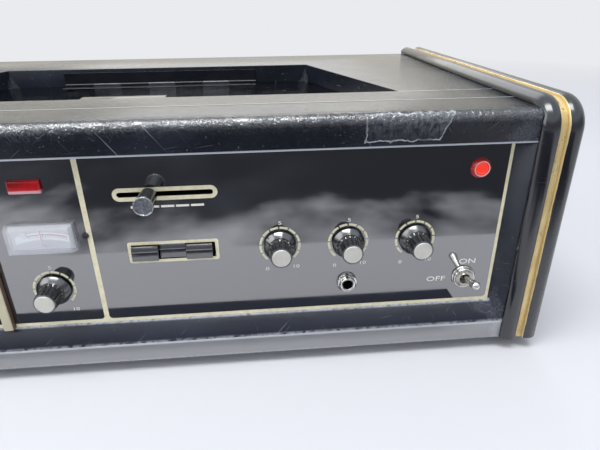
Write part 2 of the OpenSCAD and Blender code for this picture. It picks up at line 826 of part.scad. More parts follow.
// Every round hole in the panel, as its place and radius
module panel_holes() {
    for (x = [-1:1]) facing(echo_knob_x + x * echo_knob_pitch, echo_knob_z) rod(bush_r + pass_gap, -5, 5);
    facing(main_knob_x, main_knob_z) rod(bush_r + pass_gap, -5, 5);
    for (x = [mic_1_x, mic_2_x]) {
        facing(x, echo_knob_z) rod(bush_r + pass_gap, -5, 5);
        facing(x, jack_z) rod(jack_bush_r + pass_gap, -5, 5);
    }
    facing(jack_x, jack_z) rod(jack_bush_r + pass_gap, -5, 5);
    for (x = [mains_toggle_x, toggle_x]) facing(x, toggle_z) rod(toggle_bush_r + pass_gap, -5, 5);
    facing(pilot_x, pilot_z) rod(pilot_bush_r + pass_gap, -5, 5);
    facing(meter_x, meter_pivot_z) rod(2 * needle_axle_r, -5, 5);
    facing(panel_screw_x, panel_screw_z) rod(1.2, -5, 5);
}

module front_panel() placed() color([0.05, 0.06, 0.07]) {
    difference() {
        box([-panel_half, 0, panel_z0], [panel_half, panel_t, ceiling_z]);
        panel_holes();
        slot_end = slot_w / 2 - slot_h / 2;
        box([slot_x - slot_end, -1, slot_z - slot_h / 2], [slot_x + slot_end, 5, slot_z + slot_h / 2]);
        for (side = [-1, 1]) facing(slot_x + side * slot_end, slot_z) rod(slot_h / 2, -5, 5);
        box([key_window_x - key_window_w / 2, -1, keys_z - key_h / 2 - key_gap],
            [key_window_x + key_window_w / 2, 5, keys_z + key_h / 2 + key_gap]);
        box([level_lamp_x - level_lamp_w / 2 + lamp_rim, -1, level_lamp_z - level_lamp_h / 2 + lamp_rim],
            [level_lamp_x + level_lamp_w / 2 - lamp_rim, 5, level_lamp_z + level_lamp_h / 2 - lamp_rim]);
    }
}

module divider_bar() placed() color([0.36, 0.24, 0.15]) {
    box([divider_x - divider_w / 2, -divider_d, panel_z0], [divider_x + divider_w / 2, 0, ceiling_z]);
}

// The lever's grip, which the bar runs into from behind
module mode_lever_grip() placed() color([0.06, 0.06, 0.07]) {
    facing(lever_x, slot_z) difference() {
        translate([0, 0, grip_gap])
            cylinder(r1 = lever_r - 0.4, r2 = lever_r, h = lever_h - disc_t - grip_gap);
        translate([-bar_half, -bar_t / 2, 0]) cube([2 * bar_half, bar_t, lever_h - 5]);
    }
}

// The bar from the lever to the playback head's carriage, and the disc on the lever's end
module mode_lever_bar() placed() color([0.72, 0.73, 0.74]) {
    facing(lever_x, slot_z) difference() {
        rod(lever_r, lever_h - disc_t, lever_h);
        rod(lever_r - disc_rim, lever_h - disc_dip, lever_h + 1);
    }
    box([lever_x - bar_half, -lever_h + 5, slot_z - bar_t / 2],
        [lever_x + bar_half, carriage_y, slot_z + bar_t / 2]);
    box([lever_x - 6, carriage_y - 2, rail_z - 4], [lever_x + 6, carriage_y, slot_z + bar_t / 2]);
}

// A key with its upper third bevelled, and its stem
module key(place, pressed) {
    x = keys_left_x + place * key_pitch;
    y = pressed ? 0 : -key_travel;
    translate([x - key_w / 2, y, keys_z]) rotate([90, 0, 90]) linear_extrude(key_w) polygon([
        [0, -key_h / 2], [0, key_h / 6], [1.2, key_h / 2], [9, key_h / 2], [9, -key_h / 2]
    ]);
    box([x - stem_half, y + 9, keys_z - stem_h / 2], [x + stem_half, y + 38, keys_z + stem_h / 2]);
}

module key_left() placed() color([0.12, 0.12, 0.13]) key(0, false);

module key_middle() placed() color([0.12, 0.12, 0.13]) key(1, true);

module key_right() placed() color([0.12, 0.12, 0.13]) key(2, false);

// The latching switch block behind the keys, with its two legs to the panel
module key_switch_block() placed() color([0.45, 0.43, 0.38]) {
    difference() {
        union() {
            box([keys_x - 27, 13, keys_z - 8], [keys_x + 27, 41, keys_z + 8]);
            for (side = [0, 1]) {
                translate([keys_x, 0, 0]) mirror([side, 0, 0])
                    box([27, panel_t, keys_z - 6], [29, 41, keys_z + 6]);
            }
        }
        for (i = [0:2]) {
            x = keys_left_x + i * key_pitch;
            box([x - stem_half - pass_gap, 12, keys_z - stem_h / 2 - pass_gap],
                [x + stem_half + pass_gap, 42, keys_z + stem_h / 2 + pass_gap]);
        }
    }
}

module meter_body() placed() color([0.12, 0.12, 0.13]) {
    difference() {
        box([meter_x - 17, panel_t, meter_z - 9], [meter_x + 17, 24, meter_z + 9]);
        facing(meter_x, meter_pivot_z) rod(needle_axle_r + running_fit, -12, 0);
    }
}

module meter_dial() placed() color([0.93, 0.91, 0.84]) {
    inset = meter_wall + 0.2;
    difference() {
        box([meter_x - meter_w / 2 + inset, -0.8, meter_z - meter_h / 2 + inset],
            [meter_x + meter_w / 2 - inset, 0, meter_z + meter_h / 2 - inset]);
        facing(meter_x, meter_pivot_z) rod(1.5 * needle_axle_r, -1, 2);
    }
}

// The clear cover, hollow behind, with its front drawn in
module meter_cover() placed() color([0.85, 0.88, 0.90, 0.35]) translate([meter_x, 0, meter_z]) difference() {
    bevelled_block(meter_w, meter_h, meter_d, meter_rim, meter_bevel);
    bevelled_block(meter_w - 2 * meter_wall, meter_h - 2 * meter_wall, meter_d - meter_wall,
        meter_rim, meter_bevel, 1);
}

module meter_needle() placed() color([0.85, 0.30, 0.30]) {
    facing(meter_x, meter_pivot_z) {
        rod(needle_axle_r, -11, 1.4);
        rod(needle_hub_r, 1.4, 2.6);
        translate([-0.35, 0, 1.8]) cube([0.7, needle_len, 0.5]);
    }
}

module level_lamp() placed() color([0.75, 0.10, 0.08]) {
    boss = lamp_rim + pass_gap;
    translate([level_lamp_x, 0, level_lamp_z]) {
        bevelled_block(level_lamp_w, level_lamp_h, level_lamp_d, level_lamp_d - level_lamp_bevel,
            level_lamp_bevel);
        box([-level_lamp_w / 2 + boss, 0, -level_lamp_h / 2 + boss],
            [level_lamp_w / 2 - boss, 8, level_lamp_h / 2 - boss]);
    }
}

// A turned bezel with a sloping flank, and the bush that carries it
module pilot_bezel() placed() color([0.75, 0.12, 0.08]) {
    bore = pilot_lens_r + pass_gap;
    facing(pilot_x, pilot_z) rotate_extrude() polygon([
        [bore, -16], [pilot_bush_r, -16], [pilot_bush_r, 0], [pilot_r, 0], [pilot_r, 0.5],
        [pilot_r - 0.5, 1.8], [pilot_r - 1.1, pilot_h - 0.3], [bore + 0.4, pilot_h], [bore, pilot_h - 0.2]
    ]);
}

module pilot_lens() placed() color([0.85, 0.12, 0.06]) {
    dome_r = (pow(pilot_lens_r, 2) + pow(lens_dome, 2)) / (2 * lens_dome);
    facing(pilot_x, pilot_z) {
        rod(pilot_lens_r, -8, lens_base);
        intersection() {
            translate([0, 0, lens_base + lens_dome - dome_r]) sphere(r = dome_r);
            rod(pilot_lens_r, lens_base, lens_base + 2 * lens_dome);
        }
    }
}

// ---------- switches, jacks, pots and knobs ----------

// Each body's bush is bored for the lever's ball, and across for the pin it tips on
module toggle_bodies() placed() color([0.25, 0.22, 0.18]) {
    for (x = [mains_toggle_x, toggle_x]) {
        facing(x, toggle_z) difference() {
            union() {
                translate([-6.5, -13, -22]) cube([13, 26, 22 - panel_t]);
                rod(toggle_bush_r, -panel_t, 3.4);
            }
            rod(toggle_bore_r, -9, 4);
            translate([-toggle_pin_half - 0.2, 0, -toggle_pivot_y]) rotate([0, 90, 0])
                cylinder(r = toggle_pin_r + running_fit, h = 2 * toggle_pin_half + 0.4);
        }
    }
}

// A bat lever on its ball and cross pin, tilted up
module bat_lever(x) {
    translate([x, toggle_pivot_y, toggle_z]) {
        rotate([90 - toggle_tilt, 0, 0]) {
            sphere(r = ball_r);
            cylinder(r1 = 1.6, r2 = tip_r - 0.4, h = toggle_len - tip_r);
            translate([0, 0, toggle_len - tip_r]) sphere(r = tip_r);
        }
        translate([-toggle_pin_half, 0, 0]) rotate([0, 90, 0])
            cylinder(r = toggle_pin_r, h = 2 * toggle_pin_half);
    }
}

module echo_toggle_lever() placed() color([0.82, 0.83, 0.84]) bat_lever(toggle_x);

module mains_toggle_lever() placed() color([0.82, 0.83, 0.84]) bat_lever(mains_toggle_x);

module jack_bodies() placed() color([0.15, 0.15, 0.16]) {
    for (x = [mic_1_x, mic_2_x, jack_x]) {
        facing(x, jack_z) difference() {
            union() {
                rod(8, -28, -panel_t);
                rod(jack_bush_r, -panel_t, 4.2);
            }
            rod(jack_bore_r, -25, 5);
        }
    }
}

// A turned round nut: flange, step and rounded face
module round_nut(bore, r, h) {
    rotate_extrude() polygon([
        [bore, 0], [r, 0], [r, h * 0.45], [r - 0.5, h * 0.62], [r - 1.1, h * 0.7],
        [r - 1.2, h - 0.3], [r - 1.6, h], [bore + 0.3, h], [bore, h - 0.3]
    ]);
}

module panel_nuts() placed() color([0.80, 0.81, 0.82]) {
    for (x = [mic_1_x, mic_2_x, jack_x]) {
        facing(x, jack_z) round_nut(jack_bush_r + running_fit, jack_nut_r, 4.5);
    }
    for (x = [mains_toggle_x, toggle_x]) {
        facing(x, toggle_z) round_nut(toggle_bush_r + running_fit, toggle_nut_r, 2.8);
    }
}

// A pot behind the panel: can, collar and bush, bored for the spindle
module pot(x, z) {
    facing(x, z) difference() {
        union() {
            rod(12, -14, -3);
            rod(7, -3, -panel_t);
            rod(bush_r, -panel_t, -0.2);
        }
        rod(spindle_r + running_fit, -spindle_in - 1, 1);
    }
}

module pot_bodies() placed() color([0.60, 0.58, 0.52]) {
    for (i = [-1:1]) pot(echo_knob_x + i * echo_knob_pitch, echo_knob_z);
    for (x = [mic_1_x, mic_2_x]) pot(x, echo_knob_z);
    pot(main_knob_x, main_knob_z);
}

// A skirted knob: a tapered grip with flutes along its slope, a metal cap let in, and its spindle
module knob(x, z) {
    grip_z0 = skirt_top + 3;
    grip_z1 = knob_h - 0.4;
    slope = atan2(grip_taper, grip_z1 - grip_z0);
    facing(x, z) {
        color([0.05, 0.05, 0.06]) difference() {
            rotate_extrude() polygon([
                [0, knob_gap], [skirt_r, knob_gap], [skirt_r, skirt_top], [skirt_r - 1.2, skirt_top + 1.4],
                [grip_r + 0.4, grip_z0 - 0.8], [grip_r, grip_z0], [grip_r - grip_taper, grip_z1], [0, grip_z1]
            ]);
            rod(cap_r + seat_gap, knob_h - 1.2 - seat_gap, knob_h + 1);
            rod(spindle_r + seat_gap, 0, spindle_in + seat_gap);
            for (i = [0:flute_count - 1]) {
                rotate([0, 0, 360 / flute_count * i]) translate([grip_r + flute_out, 0, grip_z0])
                    rotate([0, -slope, 0]) rod(flute_r, 0.2, knob_h);
            }
        }
        color([0.86, 0.86, 0.85]) rod(cap_r, knob_h - 1.2, knob_h);
        color([0.70, 0.71, 0.72]) rod(spindle_r, -spindle_in, spindle_in);
    }
}

module knob_repeat() placed() knob(echo_knob_x - echo_knob_pitch, echo_knob_z);

module knob_volume() placed() knob(echo_knob_x, echo_knob_z);

module knob_tone() placed() knob(echo_knob_x + echo_knob_pitch, echo_knob_z);

module knob_main() placed() knob(main_knob_x, main_knob_z);

module knob_mic_1() placed() knob(mic_1_x, echo_knob_z);

module knob_mic_2() placed() knob(mic_2_x, echo_knob_z);

cabinet_top();
cabinet_bottom();
side_board_left();
side_board_right();
edge_mouldings();
gold_inlays();
front_surround();
front_panel();
divider_bar();
screws();
rubber_feet();
rear_panel();
mains_gland();
chassis_tray();
circuit_board();
power_transformer();
deck_pan();
tape_lid();
lid_hinge_fixed();
lid_hinge_moving();
drive_motor();
motor_pulley();
drive_belt();
capstan_shaft();
capstan_flywheel();
capstan_bearing();
pinch_arm();
pinch_roller();
tape_guides();
fixed_heads();
head_rails();
playback_carriage();
playback_head();
tape_loop();
mode_lever_grip();
mode_lever_bar();
key_left();
key_middle();
key_right();
key_switch_block();
meter_body();
meter_dial();
meter_cover();
meter_needle();
level_lamp();
pilot_bezel();
pilot_lens();
toggle_bodies();
echo_toggle_lever();
mains_toggle_lever();
jack_bodies();
panel_nuts();
pot_bodies();
knob_repeat();
knob_volume();
knob_tone();
knob_main();
knob_mic_1();
knob_mic_2();
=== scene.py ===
"""Looks of a tape echo unit: a black cabinet with gold-striped sides and a glossy front panel.

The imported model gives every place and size. This script dresses its pieces and models the knobs,
prints, keys, meter, lamps and levers in full. Lengths are in metres, or in millimetres where MM,
rings() or cover() turns them into metres. Angles are in degrees where a name or docstring says so,
or else in radians. In a finish, a noise's first number is how many features lie in a metre, and a
ramp's first two numbers are the values that it stretches over its outcome.
"""

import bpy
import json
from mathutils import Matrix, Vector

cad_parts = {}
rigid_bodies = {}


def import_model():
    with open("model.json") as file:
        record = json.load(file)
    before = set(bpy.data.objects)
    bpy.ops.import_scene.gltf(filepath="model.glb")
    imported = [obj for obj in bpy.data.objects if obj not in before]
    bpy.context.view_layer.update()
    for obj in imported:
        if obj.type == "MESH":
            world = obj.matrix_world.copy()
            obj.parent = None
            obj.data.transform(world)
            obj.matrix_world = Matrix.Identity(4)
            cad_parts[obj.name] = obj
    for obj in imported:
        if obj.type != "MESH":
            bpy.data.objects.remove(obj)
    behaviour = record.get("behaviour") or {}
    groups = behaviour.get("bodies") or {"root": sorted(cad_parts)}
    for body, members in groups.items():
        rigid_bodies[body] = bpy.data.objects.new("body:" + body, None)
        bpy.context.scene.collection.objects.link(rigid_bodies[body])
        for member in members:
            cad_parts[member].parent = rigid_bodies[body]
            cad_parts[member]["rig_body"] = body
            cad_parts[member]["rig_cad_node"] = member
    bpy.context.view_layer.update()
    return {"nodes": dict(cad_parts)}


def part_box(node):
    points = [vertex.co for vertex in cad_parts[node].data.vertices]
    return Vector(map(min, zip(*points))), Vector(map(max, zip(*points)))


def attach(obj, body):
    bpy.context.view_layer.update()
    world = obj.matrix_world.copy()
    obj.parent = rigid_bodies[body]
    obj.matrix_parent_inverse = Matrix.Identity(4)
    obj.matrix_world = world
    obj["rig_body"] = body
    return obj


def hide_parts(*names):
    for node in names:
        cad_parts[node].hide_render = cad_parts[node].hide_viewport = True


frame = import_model()

import json
import logging
import math
from collections.abc import Callable, Iterable, Iterator, Sequence
from contextlib import contextmanager
from dataclasses import dataclass, field
from enum import Enum
from functools import reduce
from typing import ClassVar

import bmesh
import bpy
from mathutils import Matrix, Vector

logging.basicConfig(level=logging.INFO, format="%(name)s: %(message)s")
log = logging.getLogger("echo_unit")

MM = 0.001
Triple = tuple[float, float, float]
Profile = Sequence[tuple[float, float]]
Piece = bpy.types.Object
Socket = bpy.types.NodeSocket
Value = Socket | Triple | float

KNOBS = ("knob_repeat", "knob_volume", "knob_tone", "knob_main", "knob_mic_1", "knob_mic_2")
FRONT = Vector((0.0, -1.0, 0.0))
FRONT_TURN = FRONT.to_track_quat("Z", "Y").to_euler()
UPRIGHT = (math.pi / 2, 0.0, 0.0)
EVEN = (1.0, 1.0, 1.0)
EDGE_ANGLE = 35.0
MERGED = 1e-6
MERGED_NODE = 2e-6


# ---------------------------------------------------------------- places


class Kind(Enum):
    """What is selected in edit mode, as Blender's three switches."""

    VERTS = (True, False, False)
    EDGES = (False, True, False)
    FACES = (False, False, True)


@dataclass(frozen=True)
class Places:
    """Sizes that no node's box gives by itself."""

    slot_x: float = 29.95 * MM
    slot_w: float = 53.9 * MM
    slot_h: float = 3.0 * MM
    window_x: float = 30.6 * MM
    window_w: float = 49.4 * MM
    toggle_tilt: float = 12.0
    toggle_reach: float = 24.0 * MM
    toggle_tip: float = 2.9 * MM
    foil_half: float = 2.35 * MM
    well_half: float = 130.1 * MM
    lid_top: float = 147.8 * MM


PLACES = Places()


def span(node: str) -> tuple[Vector, Vector]:
    """Give a node's lowest and highest corners."""
    low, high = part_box(node)
    return Vector(low), Vector(high)


def middle(node: str) -> Vector:
    """Give the middle of a node's box."""
    low, high = span(node)
    return (low + high) / 2


def panel_face() -> float:
    """Give the y of the front panel's face."""
    return span("front_panel")[0].y


def on_panel(node: str) -> Vector:
    """Give the place on the panel's face before a node's middle."""
    centre = middle(node)
    return Vector((centre.x, panel_face(), centre.z))


def rings(*pairs: tuple[float, float]) -> list[tuple[float, float]]:
    """Give a profile in metres from its (radius, height) pairs in millimetres."""
    return [(radius * MM, height * MM) for radius, height in pairs]


# ---------------------------------------------------------------- modelling steps


class Bench:
    """Modelling steps, each done with Blender's own tools as by hand."""

    @staticmethod
    def clear() -> None:
        """Leave nothing selected."""
        bpy.ops.object.select_all(action="DESELECT")

    @staticmethod
    def take(piece: Piece) -> None:
        """Select one piece and make it active.

        Args:
            piece: The piece to work on.
        """
        Bench.clear()
        piece.select_set(True)
        bpy.context.view_layer.objects.active = piece

    @staticmethod
    @contextmanager
    def editing(piece: Piece, kind: Kind | None = None) -> Iterator[None]:
        """Work on a piece in edit mode, with all of it selected.

        Args:
            piece: The piece to work on.
            kind: What is selected, where that matters.
        """
        Bench.take(piece)
        bpy.ops.object.mode_set(mode="EDIT")
        if kind is not None:
            bpy.context.tool_settings.mesh_select_mode = kind.value
        bpy.ops.mesh.select_all(action="SELECT")
        yield
        bpy.ops.object.mode_set(mode="OBJECT")

    @staticmethod
    def start(add: Callable[..., object], stretch: Triple = EVEN, **settings: object) -> Piece:
        """Add a primitive with nothing else selected, and put its place and size into its mesh.

        Args:
            add: The operator that adds the primitive.
            stretch: The primitive's scale.
            settings: The operator's own settings.

        Returns:
            The new piece.
        """
        Bench.clear()
        add(**settings)
        piece = bpy.context.view_layer.objects.active
        piece.scale = stretch
        Bench.settle(piece)
        return piece

    @staticmethod
    def settle(piece: Piece) -> None:
        """Put a piece's place, turn and size into its mesh."""
        Bench.take(piece)
        bpy.ops.object.transform_apply(location=True, rotation=True, scale=True)

    @staticmethod
    def pick(piece: Piece, kind: Kind, test: Callable[[object], bool]) -> None:
        """Select the faces, edges or vertices that pass a test, in edit mode.

        Args:
            piece: The piece in edit mode.
            kind: What is selected.
            test: Tells whether an element is wanted.
        """
        bpy.context.tool_settings.mesh_select_mode = kind.value
        bpy.ops.mesh.select_all(action="DESELECT")
        mesh = bmesh.from_edit_mesh(piece.data)
        for part in getattr(mesh, kind.name.lower()):
            if test(part):
                part.select_set(True)
        mesh.select_flush_mode()
        bmesh.update_edit_mesh(piece.data)

    @staticmethod
    def pull(step: Iterable[float]) -> None:
        """Extrude what is selected by a step."""
        bpy.ops.mesh.extrude_region_move(TRANSFORM_OT_translate={"value": tuple(step)})

    @staticmethod
    def bevel(piece: Piece, width: float, segments: int) -> None:
        """Round a piece's sharp edges.

        Args:
            piece: The piece to round.
            width: The width of the rounding.
            segments: How many facets round it.
        """
        Bench.take(piece)
        tool = piece.modifiers.new("bevel", "BEVEL")
        tool.width = width
        tool.segments = segments
        tool.limit_method = "ANGLE"
        tool.angle_limit = math.radians(EDGE_ANGLE)
        bpy.ops.object.modifier_apply(modifier=tool.name)

    @staticmethod
    def smooth(piece: Piece, angle: float = EDGE_ANGLE) -> None:
        """Shade a piece smooth, apart from edges sharper than an angle in degrees."""
        Bench.take(piece)
        bpy.ops.object.shade_smooth_by_angle(angle=math.radians(angle))

    @staticmethod
    def outward(piece: Piece) -> Piece:
        """Turn a piece's faces outwards once its doubles are merged.

        Args:
            piece: The piece to turn.

        Returns:
            The same piece.
        """
        with Bench.editing(piece):
            bpy.ops.mesh.remove_doubles(threshold=MERGED)
            bpy.ops.mesh.normals_make_consistent(inside=False)
        return piece

    @staticmethod
    def softened(node: str, width: float, segments: int = 2) -> Piece:
        """Copy a node of the frame, merge it and round its edges.

        Args:
            node: The node to copy.
            width: The width of the rounding.
            segments: How many facets round it.

        Returns:
            The new piece.
        """
        Bench.take(frame["nodes"][node])
        bpy.ops.object.duplicate()
        piece = bpy.context.view_layer.objects.active
        piece.parent = None
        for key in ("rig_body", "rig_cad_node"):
            if key in piece:
                del piece[key]
        with Bench.editing(piece):
            bpy.ops.mesh.remove_doubles(threshold=MERGED_NODE)
            bpy.ops.mesh.dissolve_limited(angle_limit=math.radians(1.0))
        if width > 0:
            Bench.bevel(piece, width, segments)
        Bench.smooth(piece)
        return piece

    @staticmethod
    def turned(centre: Vector, profile: Profile, sides: int = 48) -> Piece:
        """Turn a closed solid towards the front as on a lathe, ring by ring.

        Args:
            centre: A point on the axis, at height 0.
            profile: The (radius, height) of each ring.
            sides: How many sides a ring has.

        Returns:
            The new piece.
        """
        radius, height = profile[0]
        piece = Bench.start(
            bpy.ops.mesh.primitive_circle_add,
            vertices=sides,
            radius=radius,
            fill_type="NGON",
            location=centre + FRONT * height,
            rotation=FRONT_TURN,
        )
        with Bench.editing(piece, Kind.FACES):
            for next_radius, next_height in profile[1:]:
                Bench.pull(FRONT * (next_height - height))
                scale = next_radius / radius
                at = tuple(centre + FRONT * next_height)
                bpy.ops.transform.resize(value=(scale, 1.0, scale), center_override=at)
                radius, height = next_radius, next_height
        return Bench.outward(piece)

    @staticmethod
    def opened(piece: Piece) -> Piece:
        """Open a turned ring's bore by joining the rims of its two end faces.

        Args:
            piece: The turned ring with both ends closed.

        Returns:
            The ring with its bore open.
        """
        with Bench.editing(piece):
            Bench.pick(piece, Kind.FACES, lambda face: len(face.verts) > 8)
            bpy.ops.mesh.bridge_edge_loops()
        Bench.outward(piece)
        Bench.smooth(piece, 40.0)
        return piece

    @staticmethod
    def joined(pieces: Sequence[Piece]) -> Piece:
        """Join pieces of one finish into one object.

        Args:
            pieces: The pieces, of which the first one stays.

        Returns:
            The joined piece.
        """
        Bench.clear()
        for piece in pieces:
            piece.select_set(True)
        bpy.context.view_layer.objects.active = pieces[0]
        bpy.ops.object.join()
        return pieces[0]


# ---------------------------------------------------------------- materials


class Graph:
    """A material's node graph, on the piece's own Object coordinates."""

    def __init__(self, name: str) -> None:
        """Start a material with its shader.

        Args:
            name: The material's name.
        """
        self.material = bpy.data.materials.new(name)
        self.material.use_nodes = True
        self.tree = self.material.node_tree
        self.shader = self.tree.nodes["Principled BSDF"]
        self.place = self.add("ShaderNodeTexCoord", "Object")

    def add(
        self, kind: str, out: str | int, feeds: dict[str | int, Value] | None = None, **settings: str
    ) -> Socket:
        """Add a node and feed its sockets.

        Args:
            kind: The node's type.
            out: Which of its outputs is wanted.
            feeds: What goes into each of its sockets.
            settings: Its properties.

        Returns:
            The wanted output.
        """
        node = self.tree.nodes.new(kind)
        for key, value in settings.items():
            setattr(node, key, value)
        for key, value in (feeds or {}).items():
            self.feed(node.inputs[key], value)
        return node.outputs[out]

    def feed(self, socket: Socket, value: Value | None) -> None:
        """Link a socket to a node's output, or set its value.

        Args:
            socket: The socket to feed.
            value: What goes in, if anything.
        """
        if isinstance(value, Socket):
            self.tree.links.new(value, socket)
        elif value is not None:
            socket.default_value = (*value, 1.0) if socket.type == "RGBA" else value

    def set(self, **values: Value) -> None:
        """Set or link the shader's sockets, with underscores for spaces."""
        for key, value in values.items():
            self.feed(self.shader.inputs[key.replace("_", " ")], value)

    def stretched(self, scale: Triple, turn: float = 0.0) -> Socket:
        """Give the place turned about the depth axis, then scaled along each axis.

        Args:
            scale: The scale along each axis.
            turn: The turn in degrees.

        Returns:
            The place, turned and scaled.
        """
        rotation = (0.0, math.radians(turn), 0.0)
        turned = self.add("ShaderNodeMapping", 0, {"Vector": self.place, "Rotation": rotation})
        return self.add("ShaderNodeMapping", 0, {"Vector": turned, "Scale": scale})

    def noise(
        self, scale: float, detail: float = 4.0, at: Socket | None = None, rough: float = 0.55
    ) -> Socket:
        """Give a noise whose features are about 1/scale metres."""
        feeds = {"Vector": at or self.place, "Scale": scale, "Detail": detail, "Roughness": rough}
        return self.add("ShaderNodeTexNoise", "Fac", feeds)

    def cells(self, scale: float) -> Socket:
        """Give the distance to the middle of cells about 1/scale metres wide."""
        return self.add("ShaderNodeTexVoronoi", "Distance", {"Vector": self.place, "Scale": scale})

    def ramp(self, value: Value, low: float, high: float, first: float = 0.0, last: float = 1.0) -> Socket:
        """Map a value's range to another, held at both ends."""
        feeds = {"Value": value, "From Min": low, "From Max": high, "To Min": first, "To Max": last}
        return self.add("ShaderNodeMapRange", "Result", feeds)

    def mix(self, share: Value, first: Value, second: Value) -> Socket:
        """Mix two colours by a share."""
        return self.add("ShaderNodeMix", 2, {0: share, 6: first, 7: second}, data_type="RGBA")

    def maths(self, operation: str, *values: Value) -> Socket:
        """Join numbers one after another with a maths operation.

        Args:
            operation: The operation's name.
            values: The numbers.

        Returns:
            The outcome.
        """

        def join(first: Value, second: Value) -> Socket:
            """Join two numbers."""
            return self.add("ShaderNodeMath", 0, {0: first, 1: second}, operation=operation)

        return reduce(join, values)

    def times(self, *values: Value) -> Socket:
        """Multiply numbers."""
        return self.maths("MULTIPLY", *values)

    def plus(self, *values: Value) -> Socket:
        """Add numbers."""
        return self.maths("ADD", *values)

    def minus(self, first: Value, second: Value) -> Socket:
        """Take one number from another."""
        return self.maths("SUBTRACT", first, second)

    def least(self, *values: Value) -> Socket:
        """Give the least of some numbers."""
        return self.maths("MINIMUM", *values)

    def most(self, *values: Value) -> Socket:
        """Give the greatest of some numbers."""
        return self.maths("MAXIMUM", *values)

    def off(self, first: Value, second: Value = 0.0) -> Socket:
        """Give how far a number is off another."""
        return self.maths("ABSOLUTE", self.minus(first, second), 0.0)

    def axis(self, name: str) -> Socket:
        """Give one coordinate of the place, named X, Y or Z."""
        return self.add("ShaderNodeSeparateXYZ", name, {0: self.place})

    def near(self, name: str, value: float, reach: float) -> Socket:
        """Give 1 where a coordinate is at a value, falling to 0 at a reach."""
        return self.ramp(self.off(self.axis(name), value), 0.0, reach, 1.0, 0.0)

    def around(self, spot: Triple, reach: Triple) -> Socket:
        """Give 1 at a spot, falling to 0 at the sides of a diamond.

        Args:
            spot: The diamond's middle.
            reach: How far it reaches along each axis.

        Returns:
            How near the place is to the spot.
        """
        spans = zip("XYZ", spot, reach)
        gaps = [self.maths("DIVIDE", self.off(self.axis(name), at), wide) for name, at, wide in spans]
        return self.minus(1.0, self.plus(*gaps))

    def bump(
        self, height: Value, distance: float, strength: float = 1.0, under: Socket | None = None
    ) -> Socket:
        """Give a normal raised by a height, over another normal."""
        feeds = {"Strength": strength, "Distance": distance, "Height": height, "Normal": under}
        return self.add("ShaderNodeBump", "Normal", feeds)


class WorldGraph(Graph):
    """The world's node graph, on the direction that a ray looks."""

    def __init__(self, world: bpy.types.World) -> None:
        """Start the world's graph.

        Args:
            world: The world to light.
        """
        world.use_nodes = True
        self.tree = world.node_tree
        self.shader = self.tree.nodes["Background"]
        self.place = self.add("ShaderNodeTexCoord", "Generated")

    def shine(self, share: Socket, plain: Triple, seen: Socket) -> None:
        """Shine plainly, and show another colour to the share of rays that see the world.

        Args:
            share: 1 for rays that see the world, 0 for those that carry its light.
            plain: The colour of the light.
            seen: The colour that is seen.
        """
        self.set(Color=plain)
        room = self.add("ShaderNodeBackground", 0, {"Color": seen})
        both = self.add("ShaderNodeMixShader", 0, {0: share, 1: self.shader.outputs[0], 2: room})
        self.feed(self.tree.nodes["World Output"].inputs["Surface"], both)


@dataclass(frozen=True)
class Finish:
    """What a piece is made of. Each kind of finish draws its material in its own way."""

    name: str
    made: ClassVar[dict[str, bpy.types.Material]] = {}

    def get(self) -> bpy.types.Material:
        """Give the material, which is drawn the first time.

        Returns:
            The material.
        """
        if self.name not in self.made:
            g = Graph(self.name)
            self.draw(g)
            self.made[self.name] = g.material
        return self.made[self.name]

    def draw(self, g: Graph) -> None:
        """Set the shader of a material's graph."""
        raise NotImplementedError(self.name)


@dataclass(frozen=True)
class WearAndHighlightLine:
    """A pale line along an edge that runs along x, at a y and z, as wide as its reach. It draws wear, and on
    the top board's lower front edge a painted highlight.
    """

    y: float
    z: float
    reach: float
    amount: float


@dataclass(frozen=True)
class WornSpot:
    """A rubbed place: where it is, how far it reaches, and how strongly it shows."""

    at: Triple
    reach: Triple
    amount: float


@dataclass(frozen=True)
class TapeMark:
    """The edges that a stripped piece of tape left on the front: bright lines round a faint haze."""

    left: float
    right: float
    low: float
    high: float
    front: float
    slant: float = 0.5
    pale: Triple = (0.62, 0.66, 0.72)

    def shade(self, g: Graph) -> Socket:
        """Give how strongly the mark shows.

        Args:
            g: The material's graph.

        Returns:
            The strength of the mark.
        """
        x, z = g.axis("X"), g.axis("Z")
        leaning = g.times(g.minus(z, (self.low + self.high) / 2), self.slant)
        inside = g.least(
            g.minus(x, self.left),
            g.minus(g.plus(leaning, self.right), x),
            g.minus(z, self.low),
            g.minus(self.high, z),
        )
        inside = g.plus(inside, g.ramp(g.noise(170.0, 5.0, rough=0.7), 0.3, 0.7, -1.0 * MM, 1.0 * MM))
        line = g.ramp(g.off(inside), 0.15 * MM, 0.55 * MM, 0.62, 0.0)
        line = g.times(line, g.ramp(g.noise(120.0, 3.0), 0.35, 0.6, 0.25, 1.0))
        streaks = g.noise(420.0, 5.0, at=g.stretched((1.0, 1.0, 0.6)), rough=0.75)
        higher = g.ramp(z, self.low, self.high, 0.03, 0.26)
        toward = g.ramp(x, self.left, self.right, 0.5, 1.0)
        haze = g.times(g.ramp(streaks, 0.42, 0.66), higher, toward, g.ramp(inside, 0.0, 0.3 * MM))
        ahead = g.ramp(g.axis("Y"), self.front + 4.0 * MM, self.front + 5.0 * MM, 1.0, 0.0)
        return g.times(g.most(line, haze), ahead)


